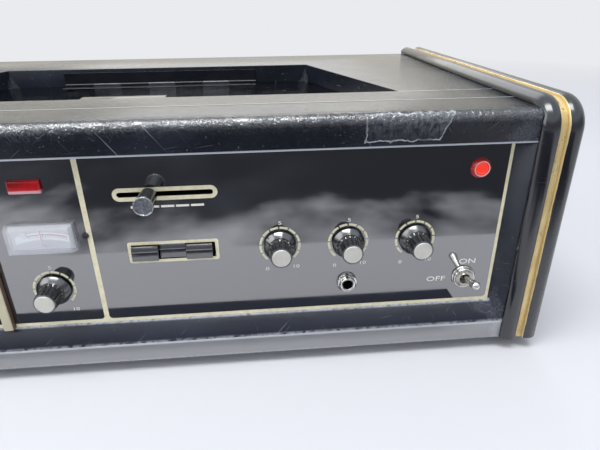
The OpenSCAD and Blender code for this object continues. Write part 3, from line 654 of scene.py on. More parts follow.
@dataclass(frozen=True)
class Leatherette(Finish):
    """Black vinyl cloth: glossy and finely grained, with wrinkles, scratches, worn places, and painted
    highlights beside its seam and along one edge.
    """

    base: Triple = (0.0035, 0.0050, 0.0095)
    dusty: Triple = (0.011, 0.015, 0.026)
    # worn is the colour of wear marks, and of a painted highlight line where a line stands for one.
    worn: Triple = (0.36, 0.38, 0.42)
    dark: Triple = (0.002, 0.003, 0.008)
    # lit is the colour of the painted highlight beside the seam.
    lit: Triple = (0.70, 0.72, 0.74)
    grain: float = 1500.0
    gloss: tuple[float, float] = (0.15, 0.27)
    ior: float = 1.55
    polished_ior: float = 2.5
    scuffs: float = 0.64
    scratched: float = 0.30
    scratch_turns: Triple = (38.0, -52.0, 8.0)
    lines: tuple[WearAndHighlightLine, ...] = ()
    spots: tuple[WornSpot, ...] = ()
    mark: TapeMark | None = None
    wrinkled: tuple[float, float] | None = None
    seam_y: float | None = None

    def draw(self, g: Graph) -> None:
        """Draw the cloth, its grain, its wear and its painted highlights.

        Args:
            g: The material's graph.
        """
        cloud = g.noise(22.0, 5.0)
        colour = g.mix(g.ramp(cloud, 0.40, 0.72), self.base, self.dusty)
        specks = g.ramp(g.noise(620.0, 3.0), self.scuffs + 0.04, self.scuffs + 0.09, 0.0, 0.45)
        broken = g.ramp(g.noise(60.0, 6.0, rough=0.7), 0.42, 0.66)
        colour = g.mix(g.times(specks, broken), colour, self.worn)
        for turn in self.scratch_turns:
            hairs = g.noise(70.0, 2.0, at=g.stretched((0.22, 1.0, 13.0), turn))
            colour = g.mix(g.ramp(hairs, 0.72, 0.76, 0.0, self.scratched), colour, self.worn)
        colour = self.rubbed(g, colour)
        normal = g.bump(g.noise(16.0, 3.0, at=g.stretched((1.0, 2.4, 2.4))), 0.0007, 0.6)
        ior, shine = self.ior, 0.5
        if self.wrinkled is not None:
            y, z = self.wrinkled
            normal = self.creased(g, normal)
            polished = g.times(g.near("Y", y, 6.0 * MM), g.near("Z", z - 1.5 * MM, 3.6 * MM))
            ior = g.ramp(polished, 0.05, 0.5, self.ior, self.polished_ior)
        grain = g.plus(g.cells(self.grain), g.times(g.noise(self.grain * 1.6, 2.0), 0.6))
        normal = g.bump(grain, 0.00012, 0.7, normal)
        if self.seam_y is not None:
            dip = g.near("Y", self.seam_y, 1.1 * MM)
            colour = g.mix(g.ramp(dip, 0.2, 0.6), colour, self.dark)
            shine = g.ramp(dip, 0.1, 0.5, 0.5, 0.05)
            # A painted highlight: a pale line just behind the seam.
            seam_highlight = g.near("Y", self.seam_y + 1.2 * MM, 0.8 * MM)
            colour = g.mix(g.ramp(seam_highlight, 0.2, 0.7, 0.0, 0.85), colour, self.lit)
            normal = g.bump(g.ramp(dip, 0.0, 1.0, 1.0, 0.0), 0.0004, 1.0, normal)
        rough = g.ramp(cloud, 0.3, 0.75, *self.gloss)
        g.set(Base_Color=colour, Roughness=rough, Normal=normal, IOR=ior, Specular_IOR_Level=shine)

    def rubbed(self, g: Graph, colour: Socket) -> Socket:
        """Wear the cloth along its lines and at its spots; a line can also be a painted highlight.

        Args:
            g: The material's graph.
            colour: The colour so far.

        Returns:
            The colour with the wear.
        """
        # Each line is drawn alike, whether it is wear or a painted highlight along an edge.
        for line in self.lines:
            close = g.times(g.near("Y", line.y, line.reach), g.near("Z", line.z, line.reach))
            bare, whole = 0.62 - 0.34 * line.amount, 0.72 - 0.24 * line.amount
            ragged = g.ramp(g.noise(300.0, 6.0, rough=0.75), bare, whole)
            colour = g.mix(g.times(g.ramp(close, 0.05, 0.55), ragged, line.amount), colour, self.worn)
        for spot in self.spots:
            ragged = g.ramp(g.noise(150.0, 5.0, rough=0.7), 0.3, 0.7, -0.25, 0.25)
            torn = g.ramp(g.plus(g.around(spot.at, spot.reach), ragged), 0.0, 0.35)
            crumbs = g.ramp(g.noise(1300.0, 3.0, rough=0.6), 0.48, 0.60, 0.12, 1.0)
            colour = g.mix(g.times(torn, crumbs, spot.amount), colour, self.worn)
        return colour if self.mark is None else g.mix(self.mark.shade(g), colour, self.mark.pale)

    def creased(self, g: Graph, under: Socket) -> Socket:
        """Crease the cloth where it is drawn round the front edge.

        Args:
            g: The material's graph.
            under: The normal so far.

        Returns:
            The creased normal.
        """
        y, z = self.wrinkled
        close = g.times(g.near("Y", y, 9.0 * MM), g.near("Z", z, 9.0 * MM))
        folds = g.off(g.noise(150.0, 4.0, at=g.stretched((1.0, 0.7, 0.7), 30.0), rough=0.65), 0.5)
        height = g.times(g.ramp(folds, 0.0, 0.09, 1.0, 0.0), g.ramp(close, 0.0, 0.4))
        return g.bump(height, 0.0004, 0.7, under)


@dataclass(frozen=True)
class GlossBlack(Finish):
    """Polished black plastic with fine scratches and dust, and a painted highlight line at a height where
    one is given.
    """

    base: Triple = (0.008, 0.009, 0.012)
    dust: Triple = (0.16, 0.17, 0.19)
    # rubbed is the colour of the painted highlight line at the given height.
    rubbed: Triple = (0.45, 0.47, 0.50)
    rough: float = 0.10
    ior: float = 1.5
    dusty: float = 0.35
    stretch: Triple = EVEN
    ripple: float = 0.0
    hairs: float = 0.14
    edge_z: float | None = None

    def draw(self, g: Graph) -> None:
        """Draw the plastic.

        Args:
            g: The material's graph.
        """
        along = g.stretched(self.stretch)
        broad = g.noise(34.0, 4.0, at=along)
        specks = g.ramp(g.noise(700.0, 4.0, at=along, rough=0.7), 0.66, 0.74)
        colour = g.mix(g.times(specks, g.ramp(broad, 0.45, 0.7), self.dusty), self.base, self.dust)
        # A painted highlight: a pale line along the given height.
        if self.edge_z is not None:
            edge = g.ramp(g.near("Z", self.edge_z, 0.3 * MM), 0.1, 0.6, 0.0, 0.55)
            colour = g.mix(edge, colour, self.rubbed)
        smear = g.ramp(broad, 0.35, 0.75, self.rough * 0.7, self.rough * 1.7)
        hairs = g.ramp(g.noise(120.0, 3.0, at=g.stretched((0.4, 1.0, 9.0))), 0.66, 0.72, 0.0, self.hairs)
        g.set(Base_Color=colour, Roughness=g.plus(smear, hairs), IOR=self.ior)
        if self.ripple > 0:
            g.set(Normal=g.bump(g.noise(30.0, 2.0), self.ripple, 0.6))


@dataclass(frozen=True)
class GroovedBlack(GlossBlack):
    """Polished black plastic whose groove is foiled up its sides."""

    foil: Triple = (0.72, 0.57, 0.29)

    def draw(self, g: Graph) -> None:
        """Draw the plastic, and the foil over it.

        Args:
            g: The material's graph.
        """
        super().draw(g)
        half = PLACES.foil_half
        beside = g.off(g.off(g.axis("X")), span("gold_inlays")[1].x - half)
        ragged = g.noise(160.0, 5.0, at=g.stretched((1.0, 0.25, 0.25)), rough=0.7)
        nicks = g.ramp(ragged, 0.3, 0.7, -0.25 * MM, 0.25 * MM)
        foiled = g.ramp(g.plus(beside, nicks), half + 0.4 * MM, half + 0.5 * MM, 1.0, 0.0)
        runs = g.ramp(g.noise(520.0, 4.0, at=g.stretched((2.5, 0.12, 0.12)), rough=0.7), 0.56, 0.60)
        some = g.ramp(g.noise(16.0, 3.0), 0.46, 0.56)
        foiled = g.times(foiled, g.ramp(g.times(runs, some), 0.0, 1.0, 1.0, 0.15))
        black, rough = (g.shader.inputs[name].links[0].from_socket for name in ("Base Color", "Roughness"))
        g.set(
            Base_Color=g.mix(foiled, black, self.foil),
            Metallic=g.ramp(foiled, 0.0, 1.0, 0.0, 0.55),
            Roughness=g.plus(rough, g.ramp(foiled, 0.0, 1.0, 0.0, 0.15)),
        )


@dataclass(frozen=True)
class Metal(Finish):
    """A metal with brushed lines or fine speckle, and stains."""

    base: Triple
    stain: Triple
    rough: float
    stretch: Triple = EVEN
    stained: float = 0.4
    metallic: float = 1.0

    def draw(self, g: Graph) -> None:
        """Draw the metal.

        Args:
            g: The material's graph.
        """
        lines = g.noise(900.0, 3.0, at=g.stretched(self.stretch))
        share = g.times(g.ramp(g.noise(150.0, 5.0, rough=0.65), 0.48, 0.74), self.stained)
        brushed = g.ramp(lines, 0.3, 0.7, self.rough * 0.75, self.rough * 1.3)
        g.set(
            Base_Color=g.mix(share, self.base, self.stain),
            Metallic=self.metallic,
            Roughness=g.plus(brushed, g.times(share, 0.2)),
            Normal=g.bump(lines, 0.00003, 0.35),
        )


@dataclass(frozen=True)
class Plain(Finish):
    """Moulded, painted or printed stuff: a colour with clouding, specks and a slight texture."""

    base: Triple
    second: Triple
    rough: float = 0.45
    scale: float = 300.0
    texture: float = 0.00004
    specks: float = 0.0
    speck_colour: Triple = (0.5, 0.5, 0.5)
    glow: Triple | None = None
    glow_strength: float = 0.0

    def draw(self, g: Graph) -> None:
        """Draw the stuff.

        Args:
            g: The material's graph.
        """
        clouds = g.noise(self.scale, 5.0, rough=0.6)
        colour = g.mix(g.ramp(clouds, 0.35, 0.7), self.base, self.second)
        if self.specks > 0:
            specks = g.ramp(g.noise(900.0, 3.0), 0.66, 0.72, 0.0, self.specks)
            colour = g.mix(specks, colour, self.speck_colour)
        rough = g.ramp(clouds, 0.3, 0.7, self.rough * 0.8, min(1.0, self.rough * 1.2))
        g.set(Base_Color=colour, Roughness=rough, Normal=g.bump(clouds, self.texture, 0.5))
        if self.glow is not None:
            g.set(Emission_Color=self.glow, Emission_Strength=self.glow_strength)


@dataclass(frozen=True)
class GoldFoil(Finish):
    """Gold foil on black plastic, rubbed through in places and nicked dark along its edges."""

    gold: Triple = (0.80, 0.66, 0.35)
    deep: Triple = (0.64, 0.48, 0.22)
    under: Triple = (0.03, 0.026, 0.022)

    def draw(self, g: Graph) -> None:
        """Draw the foil.

        Args:
            g: The material's graph.
        """
        nicks = g.ramp(g.noise(420.0, 5.0, rough=0.7), 0.60, 0.65)
        some = g.ramp(g.noise(14.0, 3.0), 0.44, 0.56)
        runs = g.ramp(g.noise(210.0, 5.0, at=g.stretched((2.5, 0.2, 0.2)), rough=0.7), 0.58, 0.63)
        worn = g.most(g.times(nicks, some), g.times(runs, some))
        foil = g.mix(g.ramp(g.noise(60.0, 5.0), 0.35, 0.7), self.gold, self.deep)
        g.set(
            Base_Color=g.mix(worn, foil, self.under),
            Metallic=g.ramp(worn, 0.0, 1.0, 0.55, 0.1),
            Roughness=g.ramp(g.noise(300.0, 4.0), 0.3, 0.7, 0.30, 0.46),
            Normal=g.bump(worn, 0.00006, 0.6),
        )


@dataclass(frozen=True)
class LampPlasticWithPaintedLight(Finish):
    """Red lamp plastic, with painted shade darkening its top and one side, and a painted reflection of the
    floor as a pale strip along its lower bevel.
    """

    node: str
    red: Triple = (0.50, 0.006, 0.012)
    # dark is the painted shade at the upper left; pale is the painted reflection along the lower bevel.
    dark: Triple = (0.08, 0.002, 0.004)
    pale: Triple = (0.62, 0.34, 0.36)
    glow: float = 0.03

    def draw(self, g: Graph) -> None:
        """Draw the plastic, with its painted shade and painted reflection, over its node's box.

        Args:
            g: The material's graph.
        """
        low, high = span(self.node)
        across = g.ramp(g.axis("X"), low.x, high.x)
        up = g.ramp(g.axis("Z"), low.z, high.z)
        bands = g.noise(260.0, 3.0, at=g.stretched((3.0, 1.0, 0.4)))
        # Painted shade, darkest towards the top and the left side.
        shade = g.times(g.ramp(up, 0.20, 0.60), g.ramp(across, 0.0, 0.85, 1.0, 0.2))
        colour = g.mix(g.times(g.ramp(bands, 0.35, 0.65, 0.6, 1.0), shade), self.red, self.dark)
        g.set(
            # Painted reflection: a pale strip along the lower bevel.
            Base_Color=g.mix(g.ramp(up, 0.22, 0.30, 1.0, 0.0), colour, self.pale),
            Roughness=g.ramp(bands, 0.3, 0.7, 0.10, 0.22),
            Emission_Color=self.red,
            Emission_Strength=self.glow,
        )


@dataclass(frozen=True)
class NeedlePaint(Finish):
    """Pink paint on a needle, over a pale grey hub below a height."""

    hub_z: float
    pink: Triple = (0.80, 0.24, 0.30)
    faded: Triple = (0.72, 0.30, 0.34)
    hub: Triple = (0.50, 0.51, 0.53)

    def draw(self, g: Graph) -> None:
        """Draw the paint.

        Args:
            g: The material's graph.
        """
        pink = g.mix(g.noise(400.0, 2.0), self.pink, self.faded)
        above = g.ramp(g.axis("Z"), self.hub_z, self.hub_z + 0.3 * MM)
        g.set(Base_Color=g.mix(above, self.hub, pink), Roughness=0.5)


@dataclass(frozen=True)
class ClearPlastic(Finish):
    """Clear moulded plastic with a milky surface."""

    tint: Triple = (0.86, 0.88, 0.92)
    haze: Triple = (0.70, 0.72, 0.76)

    def draw(self, g: Graph) -> None:
        """Draw the plastic."""
        milky = g.mix(g.noise(90.0, 5.0), self.tint, self.haze)
        g.set(Base_Color=milky, Roughness=0.16, Alpha=0.30, IOR=1.49)


@dataclass(frozen=True)
class DividerPaint(Finish):
    """A moulded bar with a cream face and brown sides, split at a depth."""

    face_y: float
    cream: Triple = (0.62, 0.58, 0.42)
    yellowed: Triple = (0.50, 0.46, 0.32)
    brown: Triple = (0.11, 0.055, 0.030)
    tan: Triple = (0.20, 0.11, 0.07)

    def draw(self, g: Graph) -> None:
        """Draw the bar's two colours.

        Args:
            g: The material's graph.
        """
        ragged = g.plus(g.axis("Y"), g.times(g.noise(400.0, 4.0), 0.5 * MM))
        side = g.ramp(ragged, self.face_y + 0.7 * MM, self.face_y + 1.0 * MM)
        dull = g.noise(120.0, 4.0)
        colour = g.mix(side, g.mix(dull, self.cream, self.yellowed), g.mix(dull, self.brown, self.tan))
        g.set(Base_Color=colour, Roughness=0.42, Normal=g.bump(dull, 0.00008, 0.5))


PRINT = Plain(
    "cream_print", (0.78, 0.73, 0.52), (0.64, 0.59, 0.41), 0.5, 260.0,
    specks=0.35, speck_colour=(0.2, 0.19, 0.15),
)  # fmt: skip
PALE_PRINT = Plain(
    "pale_print", (0.86, 0.84, 0.76), (0.74, 0.72, 0.64), 0.5, 260.0,
    specks=0.25, speck_colour=(0.25, 0.24, 0.2),
)  # fmt: skip
PANEL = GlossBlack("panel_gloss", base=(0.003, 0.004, 0.008), rough=0.05, ior=3.4, dusty=0.10, hairs=0.03)
KNOB = GlossBlack("knob_gloss", rough=0.17, ior=2.3, dusty=0.25, hairs=0.06)
GRIP = GlossBlack("grip_gloss", base=(0.004, 0.004, 0.006), rough=0.18, ior=2.5, dusty=0.15)
MOULDING = GroovedBlack(
    "moulding_gloss", base=(0.006, 0.007, 0.010), rough=0.19, ior=1.8, stretch=(1.0, 0.3, 0.3), ripple=0.0004
)
LID = GlossBlack(
    "lid_gloss", base=(0.002, 0.003, 0.005), dust=(0.10, 0.11, 0.13),
    rough=0.12, ior=1.55, dusty=0.45, ripple=0.0002,
)  # fmt: skip
CAP = Metal("cap_satin", (0.74, 0.72, 0.66), (0.56, 0.54, 0.49), 0.48, stained=0.5, metallic=0.7)
CHROME = Metal("chrome", (0.80, 0.79, 0.75), (0.40, 0.38, 0.34), 0.13, stained=0.45)
STEEL = Metal("brushed_steel", (0.60, 0.60, 0.61), (0.36, 0.35, 0.33), 0.30, (0.2, 6.0, 6.0), 0.5)
ZINC = Metal("plated_steel", (0.55, 0.55, 0.52), (0.34, 0.33, 0.29), 0.38, stained=0.6)
HINGE = Metal("hinge_steel", (0.11, 0.11, 0.12), (0.05, 0.05, 0.05), 0.40, (0.3, 5.0, 5.0), 0.6)
LEAF = GlossBlack("hinge_leaf_black", base=(0.003, 0.004, 0.008), rough=0.30, dusty=0.3)
BRASS = Metal("turned_brass", (0.72, 0.55, 0.25), (0.40, 0.30, 0.15), 0.26, (1.0, 1.0, 6.0), 0.45)
ALUMINIUM = Metal("milled_aluminium", (0.66, 0.67, 0.68), (0.50, 0.50, 0.50), 0.34, (6.0, 0.4, 1.0), 0.3)


# ---------------------------------------------------------------- handing pieces over


def finish_piece(
    piece: Piece, name: str, body: str, finish: Finish, replaces: Sequence[str] = ()
) -> None:
    """Name a piece, dress it and let it ride on its body.

    Args:
        piece: The finished mesh.
        name: What the piece is called.
        body: The body that it moves with.
        finish: What it is made of.
        replaces: The nodes that it stands for.
    """
    piece.name = piece.data.name = name
    piece.data.materials.clear()
    piece.data.materials.append(finish.get())
    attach(piece, body)
    if replaces:
        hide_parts(*replaces)
    log.info("%s rides on %s with %d faces", name, body, len(piece.data.polygons))


def cover(
    node: str, ending: str, finish: Finish, width: float, segments: int = 2, body: str = "cabinet"
) -> None:
    """Round a node's edges in a copy that stands for it, under its own name and an ending.

    Args:
        node: The node to stand for.
        ending: How the copy's name ends.
        finish: What it is made of.
        width: The width of the rounding in millimetres.
        segments: How many facets round it.
        body: The body that it moves with.
    """
    piece = Bench.softened(node, width * MM, segments)
    name = f"{node}_{ending}"
    finish_piece(piece, name, body, finish, [node])


def dress_node(node: str, finish: Finish) -> None:
    """Give a node of the frame its material.

    Args:
        node: The node's name.
        finish: What it is made of.
    """
    piece = frame["nodes"][node]
    if not piece.material_slots:
        piece.data.materials.append(finish.get())
    for holder in piece.material_slots:
        holder.material = finish.get()
    log.info("%s is dressed in %s", node, finish.name)


# ---------------------------------------------------------------- cabinet


@dataclass
class Cabinet:
    """The covered boards, their edge mouldings, the surround, the back and the feet."""

    seam_back: float = 34.0 * MM
    rim_back: float = 63.4 * MM
    mark_left: float = 142.0 * MM
    mark_right: float = 186.5 * MM
    torn: Triple = (16.0 * MM, 9.0 * MM, 18.0 * MM)
    folded: Triple = (8.0 * MM, 8.0 * MM, 12.0 * MM)
    bared: Triple = (9.0 * MM, 10.0 * MM, 18.0 * MM)
    rubbed: Triple = (18.0 * MM, 14.0 * MM, 18.0 * MM)

    def build(self) -> None:
        """Build and dress every piece of the cabinet."""
        self.top()
        self.bottom()
        self.sides()
        self.surround()
        self.back()

    def top(self) -> None:
        """Cover the top board, with its seam and the painted highlight beside it, its wrinkled front edge, a
        painted highlight along its lower front edge, and its torn places.
        """
        low, high = span("cabinet_top")
        hinge = span("lid_hinge_fixed")[1].y
        corner = WornSpot((high.x - 4.0 * MM, low.y, low.z + 4.0 * MM), self.torn, 0.14)
        ends = (-PLACES.well_half, PLACES.well_half)
        folds = (WornSpot((x, hinge, PLACES.lid_top), self.folded, 0.30) for x in ends)
        cloth = Leatherette(
            "top_leatherette",
            lines=(
                # A painted highlight along the lower front edge, drawn like wear.
                WearAndHighlightLine(low.y, low.z, 1.3 * MM, 1.4),
                WearAndHighlightLine(low.y + self.rim_back, high.z, 1.0 * MM, 1.0),
            ),
            spots=(corner, *folds),
            mark=TapeMark(self.mark_left, self.mark_right, low.z + 3.6 * MM, high.z - 1.0 * MM, low.y),
            wrinkled=(low.y + 2.0 * MM, high.z - 1.5 * MM),
            seam_y=low.y + self.seam_back,
        )
        cover("cabinet_top", "covered", cloth, 0.5)

    def bottom(self) -> None:
        """Cover the bottom board, whose front edge is rubbed bare at its corners, in vinyl lightened as a
        painted reflection of the pale floor.
        """
        low, high = span("cabinet_bottom")
        cloth = Leatherette(
            "bottom_leatherette",
            # The lighter base and cloud colours are a painted reflection of the pale floor on the board's
            # front.
            base=(0.020, 0.022, 0.032),
            dusty=(0.036, 0.039, 0.052),
            ior=4.2,
            gloss=(0.30, 0.42),
            scratched=0.15,
            lines=(WearAndHighlightLine(low.y, high.z, 1.6 * MM, 1.2), WearAndHighlightLine(low.y, low.z, 1.5 * MM, 0.6)),
            spots=tuple(WornSpot((x, low.y, high.z - 6.0 * MM), self.bared, 0.9) for x in (low.x, high.x)),
        )
        cover("cabinet_bottom", "covered", cloth, 0.9)

    def sides(self) -> None:
        """Cover the side boards and lay the double moulding with its gold stripe."""
        for side in ("left", "right"):
            cover(f"side_board_{side}", "covered", Leatherette("side_leatherette"), 0.9)
        cover("edge_mouldings", "glossy", MOULDING, 0.25)
        cover("gold_inlays", "worn", GoldFoil("gold_foil"), 0.3)

    def surround(self) -> None:
        """Cover the sloping sill and jambs round the panel."""
        low, high = span("front_surround")
        face, sill = panel_face(), span("front_panel")[0].z
        ends = (low.x + 5.0 * MM, high.x - 5.0 * MM)
        cloth = Leatherette(
            "surround_vinyl",
            base=(0.003, 0.005, 0.013),
            dusty=(0.008, 0.012, 0.026),
            grain=1900.0,
            scuffs=0.65,
            scratched=0.20,
            lines=(
                WearAndHighlightLine(face - 0.6 * MM, sill, 1.6 * MM, 0.9),
                WearAndHighlightLine(low.y, low.z, 2.0 * MM, 0.7),
            ),
            spots=tuple(WornSpot((x, face - 3.0 * MM, low.z + 7.0 * MM), self.rubbed, 0.18) for x in ends),
        )
        cover("front_surround", "covered", cloth, 0.5)

    def back(self) -> None:
        """Dress the rear panel with its screws and the cord's bush, and the four rubber feet."""
        paint = Plain(
            "rear_paint", (0.035, 0.037, 0.040), (0.055, 0.057, 0.060), 0.5, 900.0,
            texture=0.00012, specks=0.25, speck_colour=(0.2, 0.2, 0.2),
        )  # fmt: skip
        cover("rear_panel", "painted", paint, 0.3, 1)
        cover("screws", "plated", HINGE, 0.25)
        plastic = Plain("bush_plastic", (0.02, 0.02, 0.02), (0.035, 0.035, 0.035), 0.45, 500.0)
        cover("mains_gland", "moulded", plastic, 0.3)
        rubber = Plain(
            "foot_rubber", (0.018, 0.018, 0.018), (0.035, 0.034, 0.033), 0.75, 400.0,
            texture=0.0001, specks=0.3, speck_colour=(0.2, 0.19, 0.18),
        )  # fmt: skip
        cover("rubber_feet", "moulded", rubber, 0.8, 3)


# ---------------------------------------------------------------- front panel and its print


@dataclass
class PanelPrint:
    """The print on the front panel: border, scales, outlines, numbers and switch words."""

    thick: float = 0.05 * MM
    line: float = 2.0 * MM
    border_bottom: float = 2.3 * MM
    fillet_r: float = 2.2 * MM
    divider_width: float = 3.0 * MM
    divider_x: float = -16.3 * MM
    outline: float = 2.5 * MM
    window_gap: float = 0.5 * MM
    dash_left: float = 9.8 * MM
    dash_right: float = 51.1 * MM
    dash_z: float = 110.8 * MM
    dash_half: float = 0.65 * MM
    dash_gap: float = 1.0 * MM
    dash_count: int = 5
    scale_outer: float = 12.6 * MM
    scale_inner: float = 11.2 * MM
    scale_parts: int = 10
    scale_sweep: float = 280.0
    scale_gap: float = 4.0
    number_size: float = 3.2 * MM
    letter_size: float = 5.0 * MM
    wide: float = 1.45

    def build(self) -> None:
        """Print everything on the panel."""
        cream = self.borders() + self.outlines() + [self.scale(on_panel(knob)) for knob in KNOBS]
        finish_piece(Bench.joined(cream), "panel_print", "cabinet", PRINT)
        pale = self.dashes() + self.switch_words()
        for knob in KNOBS:
            pale += self.numbers(on_panel(knob))
        finish_piece(Bench.joined(pale), "panel_numbers", "cabinet", PALE_PRINT)

    def flat(self, outline: Profile, hole: Profile = ()) -> Piece:
        """Print a flat shape between an outline and a hole of as many points.

        Args:
            outline: The (x, z) points of the outline.
            hole: The (x, z) points of the hole, one for each point of the outline.

        Returns:
            The printed piece.
        """
        y = panel_face()
        piece = Bench.start(
            bpy.ops.mesh.primitive_circle_add, vertices=len(outline), radius=MM, rotation=UPRIGHT
        )
        for vertex, (x, z) in zip(piece.data.vertices, outline):
            vertex.co = (x, y, z)
        with Bench.editing(piece, Kind.EDGES):
            if hole:
                Bench.pull((0.0, 0.0, 0.0))
            else:
                bpy.ops.mesh.edge_face_add()
        for vertex, (x, z) in zip(list(piece.data.vertices)[len(outline):], hole):
            vertex.co = (x, y, z)
        return self.thickened(piece)

    def thickened(self, piece: Piece) -> Piece:
        """Give a flat print its thickness, out of the panel.

        Args:
            piece: The flat print.

        Returns:
            The same print as a solid.
        """
        with Bench.editing(piece):
            Bench.pull(FRONT * self.thick)
        return Bench.outward(piece)

    def bar(self, x0: float, x1: float, z0: float, z1: float) -> Piece:
        """Print a straight bar between two corners."""
        return self.flat([(x0, z0), (x1, z0), (x1, z1), (x0, z1)])

    def borders(self) -> list[Piece]:
        """Print the border lines and the divider between the sections.

        Returns:
            The printed lines and their round inner corners.
        """
        low, high = span("front_panel")
        bar_low, bar_high = span("divider_bar")
        left, right = low.x + self.line, high.x - self.line
        near, far = self.divider_x - self.divider_width / 2, self.divider_x + self.divider_width / 2
        base = low.z + self.border_bottom
        lines = (
            (bar_high.x, high.x, low.z, base),
            (low.x, bar_low.x, low.z, base),
            (right, high.x, base, high.z),
            (low.x, left, base, high.z),
            (near, far, base, high.z),
        )
        corners = ((right, -1), (left, 1), (near, -1), (far, 1))
        return [self.bar(*line) for line in lines] + [self.fillet(x, base, side) for x, side in corners]

    def fillet(self, x: float, z: float, side: int, steps: int = 6) -> Piece:
        """Print the round inner corner where two lines meet.

        Args:
            x: Where the upright line's edge is.
            z: Where the level line's edge is.
            side: 1 for a corner to the right of the upright line, -1 for the left.
            steps: How many steps make the curve.

        Returns:
            The printed corner.
        """
        r = self.fillet_r
        turns = [math.pi / 2 * i / steps for i in range(steps + 1)]
        curve = [(x + side * r * (1 - math.cos(turn)), z + r * (1 - math.sin(turn))) for turn in turns]
        return self.flat([(x, z), *curve])

    def rounded(self, x: float, z: float, width: float, height: float, radius: float) -> Profile:
        """Give the points of a rectangle with round corners.

        Args:
            x: Its middle.
            z: Its middle.
            width: Its width.
            height: Its height.
            radius: The radius of its corners.

        Returns:
            The points, always as many.
        """
        points = []
        steps = 8
        for corner, (sx, sz) in enumerate(((1, 1), (-1, 1), (-1, -1), (1, -1))):
            px, pz = x + sx * (width / 2 - radius), z + sz * (height / 2 - radius)
            for i in range(steps + 1):
                turn = math.pi / 2 * (corner + i / steps)
                points.append((px + radius * math.cos(turn), pz + radius * math.sin(turn)))
        return points

    def outlines(self) -> list[Piece]:
        """Print the outlines of the mode slot and the keys.

        Returns:
            The two outlines.
        """
        slot = (PLACES.slot_x, middle("mode_lever_grip").z)
        slot_w, slot_h = PLACES.slot_w, PLACES.slot_h
        low, high = span("key_left")
        keys = (PLACES.window_x, (low.z + high.z) / 2)
        wide, tall = PLACES.window_w, high.z - low.z + 2 * self.window_gap
        grown, line = 2 * self.outline, 2 * self.line
        end = slot_h / 2 - 0.01 * MM
        return [
            self.flat(
                self.rounded(*slot, slot_w + grown, slot_h + grown, end + self.outline),
                self.rounded(*slot, slot_w, slot_h, end),
            ),
            self.flat(
                self.rounded(*keys, wide + line, tall + line, 1.4 * MM),
                self.rounded(*keys, wide, tall, 0.2 * MM),
            ),
        ]

    def dashes(self) -> list[Piece]:
        """Print the row of dashes under the mode slot.

        Returns:
            The dashes.
        """
        step = (self.dash_right - self.dash_left + self.dash_gap) / self.dash_count
        starts = [self.dash_left + i * step for i in range(self.dash_count)]
        low, high = self.dash_z - self.dash_half, self.dash_z + self.dash_half
        return [self.bar(start, start + step - self.dash_gap, low, high) for start in starts]

    def scale(self, place: Vector, sides: int = 180) -> Piece:
        """Print the broken ring round a knob.

        Args:
            place: The knob's middle on the panel.
            sides: How many sides the ring has.

        Returns:
            The printed ring.
        """
        piece = Bench.start(
            bpy.ops.mesh.primitive_circle_add,
            vertices=sides,
            radius=self.scale_outer,
            fill_type="NGON",
            location=place,
            rotation=UPRIGHT,
        )
        part = self.scale_sweep / self.scale_parts

        def round_by(face: bmesh.types.BMFace) -> float:
            """Give how many degrees round the scale a face lies."""
            spot = face.calc_center_median() - place
            return math.degrees(math.atan2(spot.x, spot.z)) + self.scale_sweep / 2

        def is_gap(face: bmesh.types.BMFace) -> bool:
            """Tell whether a face lies in a gap of the scale."""
            turned = round_by(face)
            return not 0 <= turned <= self.scale_sweep or turned % part > part - self.scale_gap

        with Bench.editing(piece):
            bpy.ops.mesh.inset(thickness=self.scale_outer - self.scale_inner)
            bpy.ops.mesh.delete(type="FACE")
            Bench.pick(piece, Kind.FACES, is_gap)
            bpy.ops.mesh.delete(type="FACE")
        return self.thickened(piece)

    def word(self, text: str, x: float, z: float, size: float) -> Piece:
        """Print a number or a switch word.

        Args:
            text: What it says.
            x: Its middle.
            z: Its middle.
            size: The letters' size.

        Returns:
            The printed word.
        """
        Bench.clear()
        bpy.ops.object.text_add(location=(x, panel_face(), z), rotation=UPRIGHT)
        letters = bpy.context.view_layer.objects.active.data
        letters.body = text
        letters.size = size
        letters.align_x = letters.align_y = "CENTER"
        letters.extrude = self.thick
        letters.resolution_u = 4
        bpy.ops.object.convert(target="MESH")
        piece = bpy.context.view_layer.objects.active
        piece.scale.x = self.wide
        Bench.settle(piece)
        return Bench.outward(piece)

    def numbers(self, centre: Vector) -> list[Piece]:
        """Print 0, 5 and 10 round a knob's scale.

        Args:
            centre: The knob's middle on the panel.

        Returns:
            The three numbers.
        """
        x, z = centre.x, centre.z
        places = (("0", -8.1, -16.1), ("5", 0.3, 14.9), ("10", 9.6, -15.2))
        size = self.number_size
        return [self.word(text, x + across * MM, z + up * MM, size) for text, across, up in places]

    def switch_words(self) -> list[Piece]:
        """Print ON and OFF beside both toggles.

        Returns:
            The words.
        """
        words = []
        for node in ("echo_toggle_lever", "mains_toggle_lever"):
            x, z = middle(node).x, middle("toggle_bodies").z
            words.append(self.word("ON", x + 1.6 * MM, z + 11.1 * MM, self.letter_size))
            words.append(self.word("OFF", x - 18.1 * MM, z - 0.9 * MM, self.letter_size))
        return words


@dataclass
class FrontPanel:
    """The glossy panel with its raised divider bar and its print."""

    def build(self) -> None:
        """Dress the panel and the bar, and print the panel."""
        cover("front_panel", "glossy", PANEL, 0.0)
        paint = DividerPaint("divider_paint", span("divider_bar")[0].y)
        cover("divider_bar", "moulded", paint, 0.9, 3)
        PanelPrint().build()


# ---------------------------------------------------------------- controls


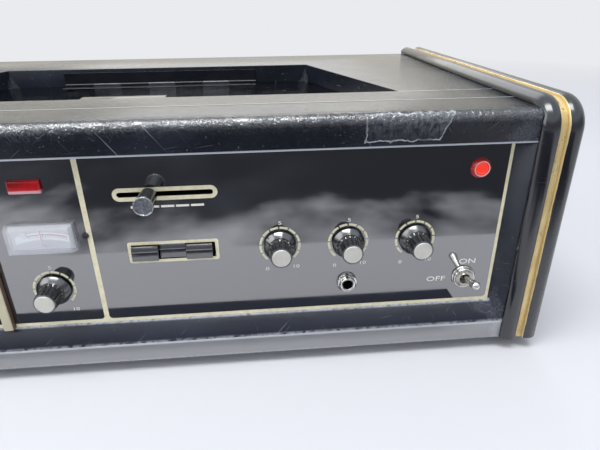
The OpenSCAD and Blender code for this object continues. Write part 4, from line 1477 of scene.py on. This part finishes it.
@dataclass
class Knob:
    """A knob with a skirt, a fluted grip and a satin metal cap, with its sizes in millimetres."""

    node: str
    skirt_r: float = 10.0
    grip_r: float = 7.2
    grip_taper: float = 0.8
    cap_r: float = 5.5
    flutes: int = 16
    sides_per_flute: int = 6
    flute_depth: float = 0.85

    def build(self) -> None:
        """Build the knob and its cap in place of the node."""
        centre = on_panel(self.node)
        height = (centre.y - span(self.node)[0].y) / MM
        grip = self.grip(centre, height - 0.4)
        finish_piece(grip, f"{self.node}_grip", self.node, KNOB, [self.node])
        r = self.cap_r
        profile = rings(
            (r, height - 1.2), (r, height - 0.25), (r - 0.25, height), (r * 0.5, height), (0.3, height)
        )
        cap = Bench.turned(centre, profile)
        Bench.smooth(cap, 30.0)
        finish_piece(cap, f"{self.node}_cap", self.node, CAP)

    def grip(self, centre: Vector, top: float) -> Piece:
        """Turn the skirt and the grip, and press the flutes into the grip.

        Args:
            centre: The knob's middle at the panel.
            top: How far the grip stands out, in millimetres.

        Returns:
            The grip.
        """
        skirt, foot, neck, cap = self.skirt_r, self.grip_r, self.grip_r - self.grip_taper, self.cap_r
        profile = rings(
            (3.1, 0.8), (skirt - 0.3, 0.8), (skirt, 1.1), (skirt, 2.2),
            (skirt - 0.4, 2.7), (skirt - 1.3, 3.8),
            (foot + 0.8, 4.4), (foot + 0.3, 4.9), (foot, 5.5), (foot - 0.1, 6.6),
            (neck + 0.05, top - 0.7), (neck - 0.1, top - 0.2), (neck - 0.35, top),
            (cap + 0.1, top), (cap + 0.05, top - 0.75), (0.4, top - 0.75),
        )  # fmt: skip
        sides = self.flutes * self.sides_per_flute
        piece = Bench.turned(centre, profile, sides)
        last, first = centre.y - (top - 0.5) * MM, centre.y - 5.6 * MM

        def in_flute(vertex: bmesh.types.BMVert) -> bool:
            """Tell whether a vertex lies on the floor of a flute.

            Args:
                vertex: A vertex of the grip.

            Returns:
                Whether it does.
            """
            spot = vertex.co - centre
            side = round(math.atan2(spot.z, spot.x) / math.tau * sides) % self.sides_per_flute
            outside = math.hypot(spot.x, spot.z) > (cap + 0.2) * MM
            return side in (0, 1) and last < vertex.co.y < first and outside

        scale = 1.0 - self.flute_depth / self.grip_r
        with Bench.editing(piece):
            Bench.pick(piece, Kind.VERTS, in_flute)
            bpy.ops.transform.resize(value=(scale, 1.0, scale), center_override=tuple(centre))
        Bench.smooth(piece, 18.0)
        return piece


@dataclass
class ModeLever:
    """The grip of the mode lever, the bar with its rimmed disc, and the disc's face, in millimetres."""

    rim: float = 0.7
    dip: float = 0.4

    def build(self) -> None:
        """Build the grip, the bar and the face."""
        centre = on_panel("mode_lever_grip")
        low, high = span("mode_lever_grip")
        r = (high.x - low.x) / 2 / MM
        near, far = (centre.y - high.y) / MM, (centre.y - low.y) / MM
        grip = Bench.turned(
            centre,
            rings(
                (r - 1.1, near), (r - 0.8, near + 0.3), (r - 0.5, (near + far) / 2),
                (r - 0.1, far - 0.3), (r - 0.4, far), (1.0, far),
            ),
        )  # fmt: skip
        Bench.smooth(grip)
        finish_piece(grip, "mode_lever_grip_turned", "mode_lever", GRIP, ["mode_lever_grip"])
        cover("mode_lever_bar", "rimmed", CHROME, 0.15, body="mode_lever")
        r -= self.rim
        top = (centre.y - span("mode_lever_bar")[0].y) / MM - self.dip
        profile = rings((r - 0.05, top - 0.1), (r - 0.1, top + 0.1), (r - 0.5, top + 0.2), (0.8, top + 0.22))
        inlay = Plain("lever_inlay", (0.055, 0.060, 0.075), (0.17, 0.18, 0.21), 0.35, 700.0, specks=0.4)
        finish_piece(Bench.turned(centre, profile), "mode_lever_face", "mode_lever", inlay)


@dataclass
class Keys:
    """The three latching keys with their bevelled upper thirds, and the switch block."""

    def build(self) -> None:
        """Round and dress the keys and the block."""
        low, high = span("key_middle")
        # The height of a painted highlight line along the keys' bevel.
        edge = (low.z + high.z) / 2 + (high.z - low.z) / 6
        gloss = GlossBlack("key_gloss", (0.014, 0.015, 0.018), rough=0.12, ior=2.4, dusty=0.12, edge_z=edge)
        for node in ("key_left", "key_middle", "key_right"):
            cover(node, "moulded", gloss, 0.3, 3, node)
        plastic = Plain("switch_plastic", (0.34, 0.31, 0.24), (0.26, 0.24, 0.19), 0.5, 200.0)
        cover("key_switch_block", "moulded", plastic, 0.4, 1)


@dataclass
class Meter:
    """The level meter: a clear bevelled cover over a printed dial, with its needle."""

    band_radius: float = 46.0 * MM
    band_height: float = 4.6 * MM
    band_drop: float = 1.2 * MM
    band_step: float = 1.5 * MM
    margin: float = 2.4 * MM
    tick_half: float = 0.14 * MM
    printed: float = 0.09 * MM
    paper: float = 0.03 * MM
    hub_drop: float = 2.0 * MM
    ticks: int = 17

    def build(self) -> None:
        """Build the cover, the dial with its scale, the needle and the body."""
        cover("meter_cover", "clear", ClearPlastic("meter_clear"), 0.2)
        self.dial()
        paint = NeedlePaint("needle_paint", middle("meter_dial").z - self.hub_drop)
        cover("meter_needle", "painted", paint, 0.08, 1, "meter_needle")
        dress_node("meter_body", Plain("meter_case", (0.02, 0.02, 0.021), (0.035, 0.035, 0.036), 0.5))

    def dial(self) -> None:
        """Print the dial: a white arched band over grey, with ticks and a red end."""
        low, high = span("meter_dial")
        half, tall, lift = (high.x - low.x) / 2 - self.margin, self.band_height, self.printed
        grey = Plain("dial_grey", (0.50, 0.51, 0.54), (0.60, 0.61, 0.64), 0.6, 90.0)
        cover("meter_dial", "plate", grey, 0.15, 1)
        band = self.band(-half, half, 0.0, tall, 0.06 * MM)
        zone = self.band(half * 0.28, half * 0.92, tall * 0.62, tall * 0.82, lift)
        lines = [self.band(-half * 0.6, half * 0.28, tall * 0.66, tall * 0.74, lift)]
        for i in range(self.ticks):
            x = -half * 0.6 + half * 1.5 * i / (self.ticks - 1)
            lines.append(self.band(x - self.tick_half, x + self.tick_half, tall * 0.30, tall * 0.66, lift))
        for piece, name, ink, first, second in (
            (band, "band", "dial_white", (0.94, 0.94, 0.96), (0.88, 0.88, 0.90)),
            (zone, "red_zone", "dial_red", (0.72, 0.20, 0.24), (0.78, 0.32, 0.34)),
            (Bench.joined(lines), "scale", "dial_ink", (0.05, 0.05, 0.07), (0.09, 0.09, 0.11)),
        ):
            paint = Plain(ink, first, second, 0.6, 90.0)
            finish_piece(piece, f"meter_dial_{name}", "cabinet", paint)

    def band(self, x0: float, x1: float, z0: float, z1: float, lift: float) -> Piece:
        """Lay an arched strip on the dial.

        Args:
            x0: Its left end from the dial's middle.
            x1: Its right end from the dial's middle.
            z0: Its lower edge above the band's foot.
            z1: Its upper edge above the band's foot.
            lift: How far it lies before the dial.

        Returns:
            The strip.
        """
        centre, y = middle("meter_dial"), span("meter_dial")[0].y - lift
        steps = max(1, int((x1 - x0) / self.band_step))
        piece = Bench.start(
            bpy.ops.mesh.primitive_grid_add,
            x_subdivisions=steps,
            y_subdivisions=1,
            size=1.0,
            rotation=UPRIGHT,
        )
        for vertex in piece.data.vertices:
            x = x0 + (x1 - x0) * (vertex.co.x + 0.5)
            rise = math.sqrt(self.band_radius**2 - x * x) - self.band_radius
            z = centre.z - self.band_drop + z0 + (z1 - z0) * (vertex.co.z + 0.5) + rise
            vertex.co = (centre.x + x, y, z)
        with Bench.editing(piece):
            Bench.pull((0.0, self.paper, 0.0))
        return Bench.outward(piece)


@dataclass
class Lamps:
    """The flat level lamp and the round pilot lamp in its bezel."""

    dome_rise: float = 1.1 * MM

    def build(self) -> None:
        """Build both lamps."""
        cover("level_lamp", "lens", LampPlasticWithPaintedLight("level_red_painted_light", "level_lamp"), 0.3, 3)
        self.pilot()

    def pilot(self) -> None:
        """Round the pilot lamp's bezel, lay its pale ring, whose colour is a painted highlight on the
        bezel's inner lip, and turn its lit jewel.
        """
        plastic = Plain("bezel_red", (0.50, 0.028, 0.030), (0.34, 0.016, 0.020), 0.13, 200.0)
        cover("pilot_bezel", "moulded", plastic, 0.2)
        centre = on_panel("pilot_bezel")
        top = (centre.y - span("pilot_bezel")[0].y) / MM
        # The ring's pale colour is a painted highlight on the bezel's inner lip.
        profile = rings((4.75, top - 0.3), (4.7, top + 0.02), (4.2, top + 0.02), (4.1, top - 0.3))
        pale = Plain("bezel_highlight_ring", (0.80, 0.52, 0.52), (0.66, 0.36, 0.36), 0.2, 300.0)
        ring = Bench.opened(Bench.turned(centre, profile))
        finish_piece(ring, "pilot_bezel_ring", "cabinet", pale)
        low, high = span("pilot_lens")
        radius, rise = (high.x - low.x) / 2, self.dome_rise
        foot = centre.y - low.y - rise
        turns = (0.3, 0.6, 0.9, 1.2, 1.45)
        dome = [(radius * math.cos(turn), foot + rise * math.sin(turn)) for turn in turns]
        lens = Bench.turned(centre, [(radius, foot - 0.8 * MM), (radius, foot), *dome])
        Bench.smooth(lens, 60.0)
        red = Plain(
            "pilot_red", (0.74, 0.04, 0.02), (0.62, 0.02, 0.015), 0.10, 260.0,
            glow=(1.0, 0.05, 0.02), glow_strength=0.4,
        )  # fmt: skip
        finish_piece(lens, "pilot_lens_lit", "cabinet", red, ["pilot_lens"])


@dataclass
class Toggles:
    """The bat levers, and the round nuts of the switches and the jacks."""

    lever_sides: int = 32
    nut_sides: int = 56
    pivot_depth: float = 2.0 * MM
    toggle_nut: Profile = (
        (7.8, 0.0), (7.8, 0.8), (7.55, 1.1), (7.1, 1.2), (7.0, 1.5),
        (7.0, 2.4), (6.7, 2.8), (6.25, 2.8), (6.06, 2.5), (6.06, 0.0),
    )  # fmt: skip
    jack_nut: Profile = (
        (6.5, 0.0), (6.5, 1.6), (6.1, 2.3), (5.2, 2.5), (5.0, 4.0),
        (4.6, 4.5), (3.8, 4.5), (3.4, 4.2), (3.27, 3.8), (3.27, 0.4),
    )  # fmt: skip

    def build(self) -> None:
        """Build both levers and all nuts."""
        nuts = []
        for body in ("echo_toggle", "mains_toggle"):
            self.lever(body)
            nuts.append(self.nut(f"{body}_lever", "toggle_bodies", self.toggle_nut))
        for node in ("knob_volume", "knob_mic_1", "knob_mic_2"):
            nuts.append(self.nut(node, "jack_bodies", self.jack_nut))
        finish_piece(Bench.joined(nuts), "panel_nuts_turned", "cabinet", CHROME, ["panel_nuts"])
        metal = Metal("bush_metal", (0.50, 0.48, 0.43), (0.26, 0.25, 0.22), 0.28)
        cover("toggle_bodies", "plated", metal, 0.25)
        dress_node("jack_bodies", GlossBlack("jack_plastic", rough=0.3))
        dress_node("pot_bodies", ZINC)

    def lever(self, body: str) -> None:
        """Turn a bat lever and tilt it as its node is tilted.

        Args:
            body: The body that the lever is.
        """
        node = f"{body}_lever"
        pivot = self.centre(node, "toggle_bodies") + Vector((0.0, self.pivot_depth, 0.0))
        reach, tip = PLACES.toggle_reach, PLACES.toggle_tip
        profile = rings((0.4, -3.1), (2.2, -2.2), (3.1, 0.0), (2.2, 2.2), (1.55, 3.2), (1.6, 7.0))
        profile += [(2.2 * MM, reach - 8.0 * MM), (2.5 * MM, reach - 2 * tip)]
        for turn in (-0.5, 0.0, 0.35, 0.7, 1.05, 1.35, 1.5):
            profile.append((tip * math.cos(turn), reach - tip + tip * math.sin(turn)))
        piece = Bench.turned(pivot, profile, self.lever_sides)
        tilt = Matrix.Rotation(-math.radians(PLACES.toggle_tilt), 4, "X")
        piece.matrix_world = Matrix.Translation(pivot) @ tilt @ Matrix.Translation(-pivot)
        Bench.settle(piece)
        Bench.smooth(piece, 60.0)
        finish_piece(piece, f"{node}_turned", body, CHROME, [node])

    def centre(self, beside: str, level: str) -> Vector:
        """Give the place on the panel's face at one node's x and another's z."""
        return Vector((middle(beside).x, panel_face(), middle(level).z))

    def nut(self, beside: str, level: str, profile: Profile) -> Piece:
        """Turn a round nut with its rings, at one node's x and another's z."""
        return Bench.opened(Bench.turned(self.centre(beside, level), rings(*profile), self.nut_sides))


# ---------------------------------------------------------------- lid and deck


@dataclass
class LidWell:
    """The sunk lid with its pull tab and hinge."""

    def build(self) -> None:
        """Round and dress the lid and the hinge leaves."""
        cover("tape_lid", "polished", LID, 0.5, body="lid")
        cover("lid_hinge_fixed", "plated", LEAF, 0.15, 1)
        cover("lid_hinge_moving", "plated", HINGE, 0.15, 1, "lid")


@dataclass
class Deck:
    """The loop deck under the lid, its drive, and the electronics in the cabinet."""

    def build(self) -> None:
        """Dress every piece under the lid."""
        paint = Plain(
            "pan_paint", (0.13, 0.135, 0.14), (0.17, 0.175, 0.18), 0.45, 900.0,
            texture=0.0001, specks=0.2, speck_colour=(0.3, 0.3, 0.3),
        )  # fmt: skip
        cover("deck_pan", "painted", paint, 0.4, 1)
        for node, body, slot, finish in (
            ("tape_guides", "cabinet", "deck_steel", STEEL),
            ("fixed_heads", "cabinet", "head_metal", CHROME),
            ("playback_head", "mode_lever", "head_metal", CHROME),
            ("head_rails", "cabinet", "polished_steel", CHROME),
            ("playback_carriage", "mode_lever", "carriage_aluminium", ALUMINIUM),
            ("pinch_arm", "pinch_arm", "deck_steel", STEEL),
            ("capstan_bearing", "cabinet", "deck_brass", BRASS),
        ):
            cover(node, "finished", finish, 0.3, 2, body)
        rubber = Plain("deck_rubber", (0.02, 0.02, 0.02), (0.035, 0.035, 0.035), 0.8, 500.0)
        for node, finish in (
            ("tape_loop", Plain("tape_oxide", (0.10, 0.050, 0.028), (0.13, 0.065, 0.036), 0.28, 500.0)),
            ("drive_belt", rubber),
            ("pinch_roller", rubber),
            ("capstan_shaft", CHROME),
            ("capstan_flywheel", BRASS),
            ("motor_pulley", BRASS),
            ("drive_motor", Plain("motor_paint", (0.10, 0.11, 0.12), (0.14, 0.15, 0.16), 0.4)),
            ("chassis_tray", ZINC),
            ("circuit_board", Plain("board_fibre", (0.30, 0.18, 0.07), (0.36, 0.24, 0.10), 0.45, 120.0)),
            ("power_transformer", Plain("transformer_iron", (0.07, 0.07, 0.08), (0.12, 0.11, 0.10))),
        ):
            dress_node(node, finish)


# ---------------------------------------------------------------- stage


@dataclass
class Stage:
    """A pale floor, soft lamps and the camera at the photograph's angle."""

    focal_px: float = 484.7
    image_width_px: float = 600.0
    sensor: float = 36.0
    camera_at: Vector = field(default_factory=lambda: Vector((0.0845, -0.262, 0.2192)))
    right: Vector = field(default_factory=lambda: Vector((0.9961, -0.0886, -0.0099)))
    forward: Vector = field(default_factory=lambda: Vector((0.0758, 0.9007, -0.4277)))
    floor_size: float = 600.0
    floor_tint: Triple = (0.64, 0.645, 0.68)
    floor_shade: Triple = (0.62, 0.625, 0.66)
    backdrop: Triple = (0.82, 0.83, 0.86)
    room_light: Triple = (0.60, 0.63, 0.675)
    room_front: Triple = (0.30, 0.31, 0.34)
    room_back: Triple = (0.93, 0.90, 0.80)
    room_top: Triple = (0.86, 0.92, 1.0)
    card_z: float = 4.0 * MM
    card_starts: float = -0.205
    card_dark: Triple = (0.002, 0.003, 0.006)
    card_left: Triple = (0.05, 0.055, 0.07)
    card_right: Triple = (0.004, 0.005, 0.008)

    def build(self) -> None:
        """Set the stage."""
        self.floor()
        self.room()
        self.cards()
        self.lamps()
        self.camera()
        bpy.context.scene.view_settings.view_transform = "Standard"

    def floor(self) -> None:
        """Lay the pale floor, which the camera sees melt into the backdrop far off."""
        floor = Bench.start(bpy.ops.mesh.primitive_plane_add, size=self.floor_size)
        floor.name = "floor"
        g = Graph("floor_pale")
        far = g.plus(g.maths("POWER", g.axis("X"), 2.0), g.maths("POWER", g.axis("Y"), 2.0))
        share = g.times(g.ramp(far, 0.25, 3.0), g.add("ShaderNodeLightPath", "Is Camera Ray"))
        pale = g.mix(g.noise(3.0, 2.0), self.floor_tint, self.floor_shade)
        g.set(
            Base_Color=g.mix(share, pale, (0.0, 0.0, 0.0)),
            Roughness=0.5,
            Specular_IOR_Level=0.0,
            Emission_Color=self.backdrop,
            Emission_Strength=share,
        )
        floor.data.materials.append(g.material)

    def room(self) -> None:
        """Set the plain light of the world and what shiny pieces mirror of the room."""
        world = bpy.data.worlds.new("studio")
        bpy.context.scene.world = world
        g = WorldGraph(world)
        wall = g.mix(g.ramp(g.axis("Y"), -0.1, 0.3), self.room_front, self.room_back)
        room = g.mix(g.ramp(g.axis("Z"), 0.28, 0.45), wall, self.room_top)
        direct, mirrored, through = (
            g.add("ShaderNodeLightPath", f"Is {kind} Ray") for kind in ("Camera", "Glossy", "Transmission")
        )
        share = g.most(direct, mirrored, through)
        g.shine(share, self.room_light, g.mix(mirrored, self.backdrop, room))

    def cards(self) -> None:
        """Lay two dark cards before the panel that only shiny pieces mirror."""
        far = self.card("far_card", -0.175, -0.85, (1.45, 1.4, 1.0))
        g = Graph("far_card")
        edge = g.plus(
            g.axis("Y"),
            g.ramp(g.axis("X"), -0.25, 0.20, 0.11, 0.0),
            g.ramp(g.noise(7.0, 4.0), 0.3, 0.7, -0.09, 0.09),
        )
        start = panel_face() + self.card_starts
        lighter = g.mix(g.ramp(g.axis("X"), 0.0, 0.2), self.card_left, self.card_right)
        g.set(
            Base_Color=g.mix(g.ramp(g.noise(5.0, 3.0), 0.4, 0.7), self.card_dark, lighter),
            Roughness=0.8,
            Alpha=g.ramp(edge, start - 0.02, start + 0.105, 1.0, 0.0),
        )
        far.data.materials.append(g.material)
        near = self.card("near_card", 0.0, -0.046, (0.46, 0.025, 1.0))
        paint = Plain("near_card", (0.012, 0.015, 0.028), (0.03, 0.036, 0.06), 0.8, 12.0)
        near.data.materials.append(paint.get())

    def card(self, name: str, x: float, before: float, size: Triple) -> Piece:
        """Lay a card that only shiny pieces mirror.

        Args:
            name: What it is called.
            x: Where its middle is.
            before: How far its middle is behind the panel's face, which is negative before it.
            size: Its width and depth.

        Returns:
            The card.
        """
        place = (x, panel_face() + before, self.card_z)
        card = Bench.start(bpy.ops.mesh.primitive_plane_add, size, size=1.0, location=place)
        card.name = name
        card.visible_camera = card.visible_diffuse = card.visible_shadow = card.visible_transmission = False
        return card

    def lamps(self) -> None:
        """Hang the soft lamps, which all look at the unit's middle."""
        target = Vector((0.0, 0.0, 0.1))
        for name, spot, width, depth, power in (
            ("key_lamp", (-0.1, -0.5, 1.6), 1.2, 0.6, 22.0),
            ("fill_lamp", (-1.3, -0.5, 0.9), 1.2, 1.2, 10.0),
            ("back_lamp", (0.1, 1.5, 1.1), 1.4, 1.4, 8.0),
        ):
            data = bpy.data.lights.new(name, "AREA")
            data.shape = "RECTANGLE"
            data.size, data.size_y = width, depth
            data.energy = power
            lamp = bpy.data.objects.new(name, data)
            bpy.context.scene.collection.objects.link(lamp)
            lamp.location = spot
            lamp.rotation_euler = (target - Vector(spot)).to_track_quat("-Z", "Y").to_euler()

    def camera(self) -> None:
        """Stand the camera where the photograph was taken."""
        data = bpy.data.cameras.new("camera")
        data.sensor_width = self.sensor
        data.lens = self.focal_px * self.sensor / self.image_width_px
        data.clip_start = 0.01
        camera = bpy.data.objects.new("camera", data)
        bpy.context.scene.collection.objects.link(camera)
        turn = Matrix((self.right, self.right.cross(self.forward), -self.forward)).transposed().to_4x4()
        place = Vector((self.camera_at.x, panel_face() + self.camera_at.y, self.camera_at.z))
        camera.matrix_world = Matrix.Translation(place) @ turn
        bpy.context.scene.camera = camera


def main() -> None:
    """Build every sub-assembly in order."""
    Stage().build()
    Cabinet().build()
    FrontPanel().build()
    for node in KNOBS:
        Knob(node).build()
    ModeLever().build()
    Keys().build()
    Meter().build()
    Lamps().build()
    Toggles().build()
    LidWell().build()
    Deck().build()
    Bench.clear()


if __name__ == "__main__":
    main()
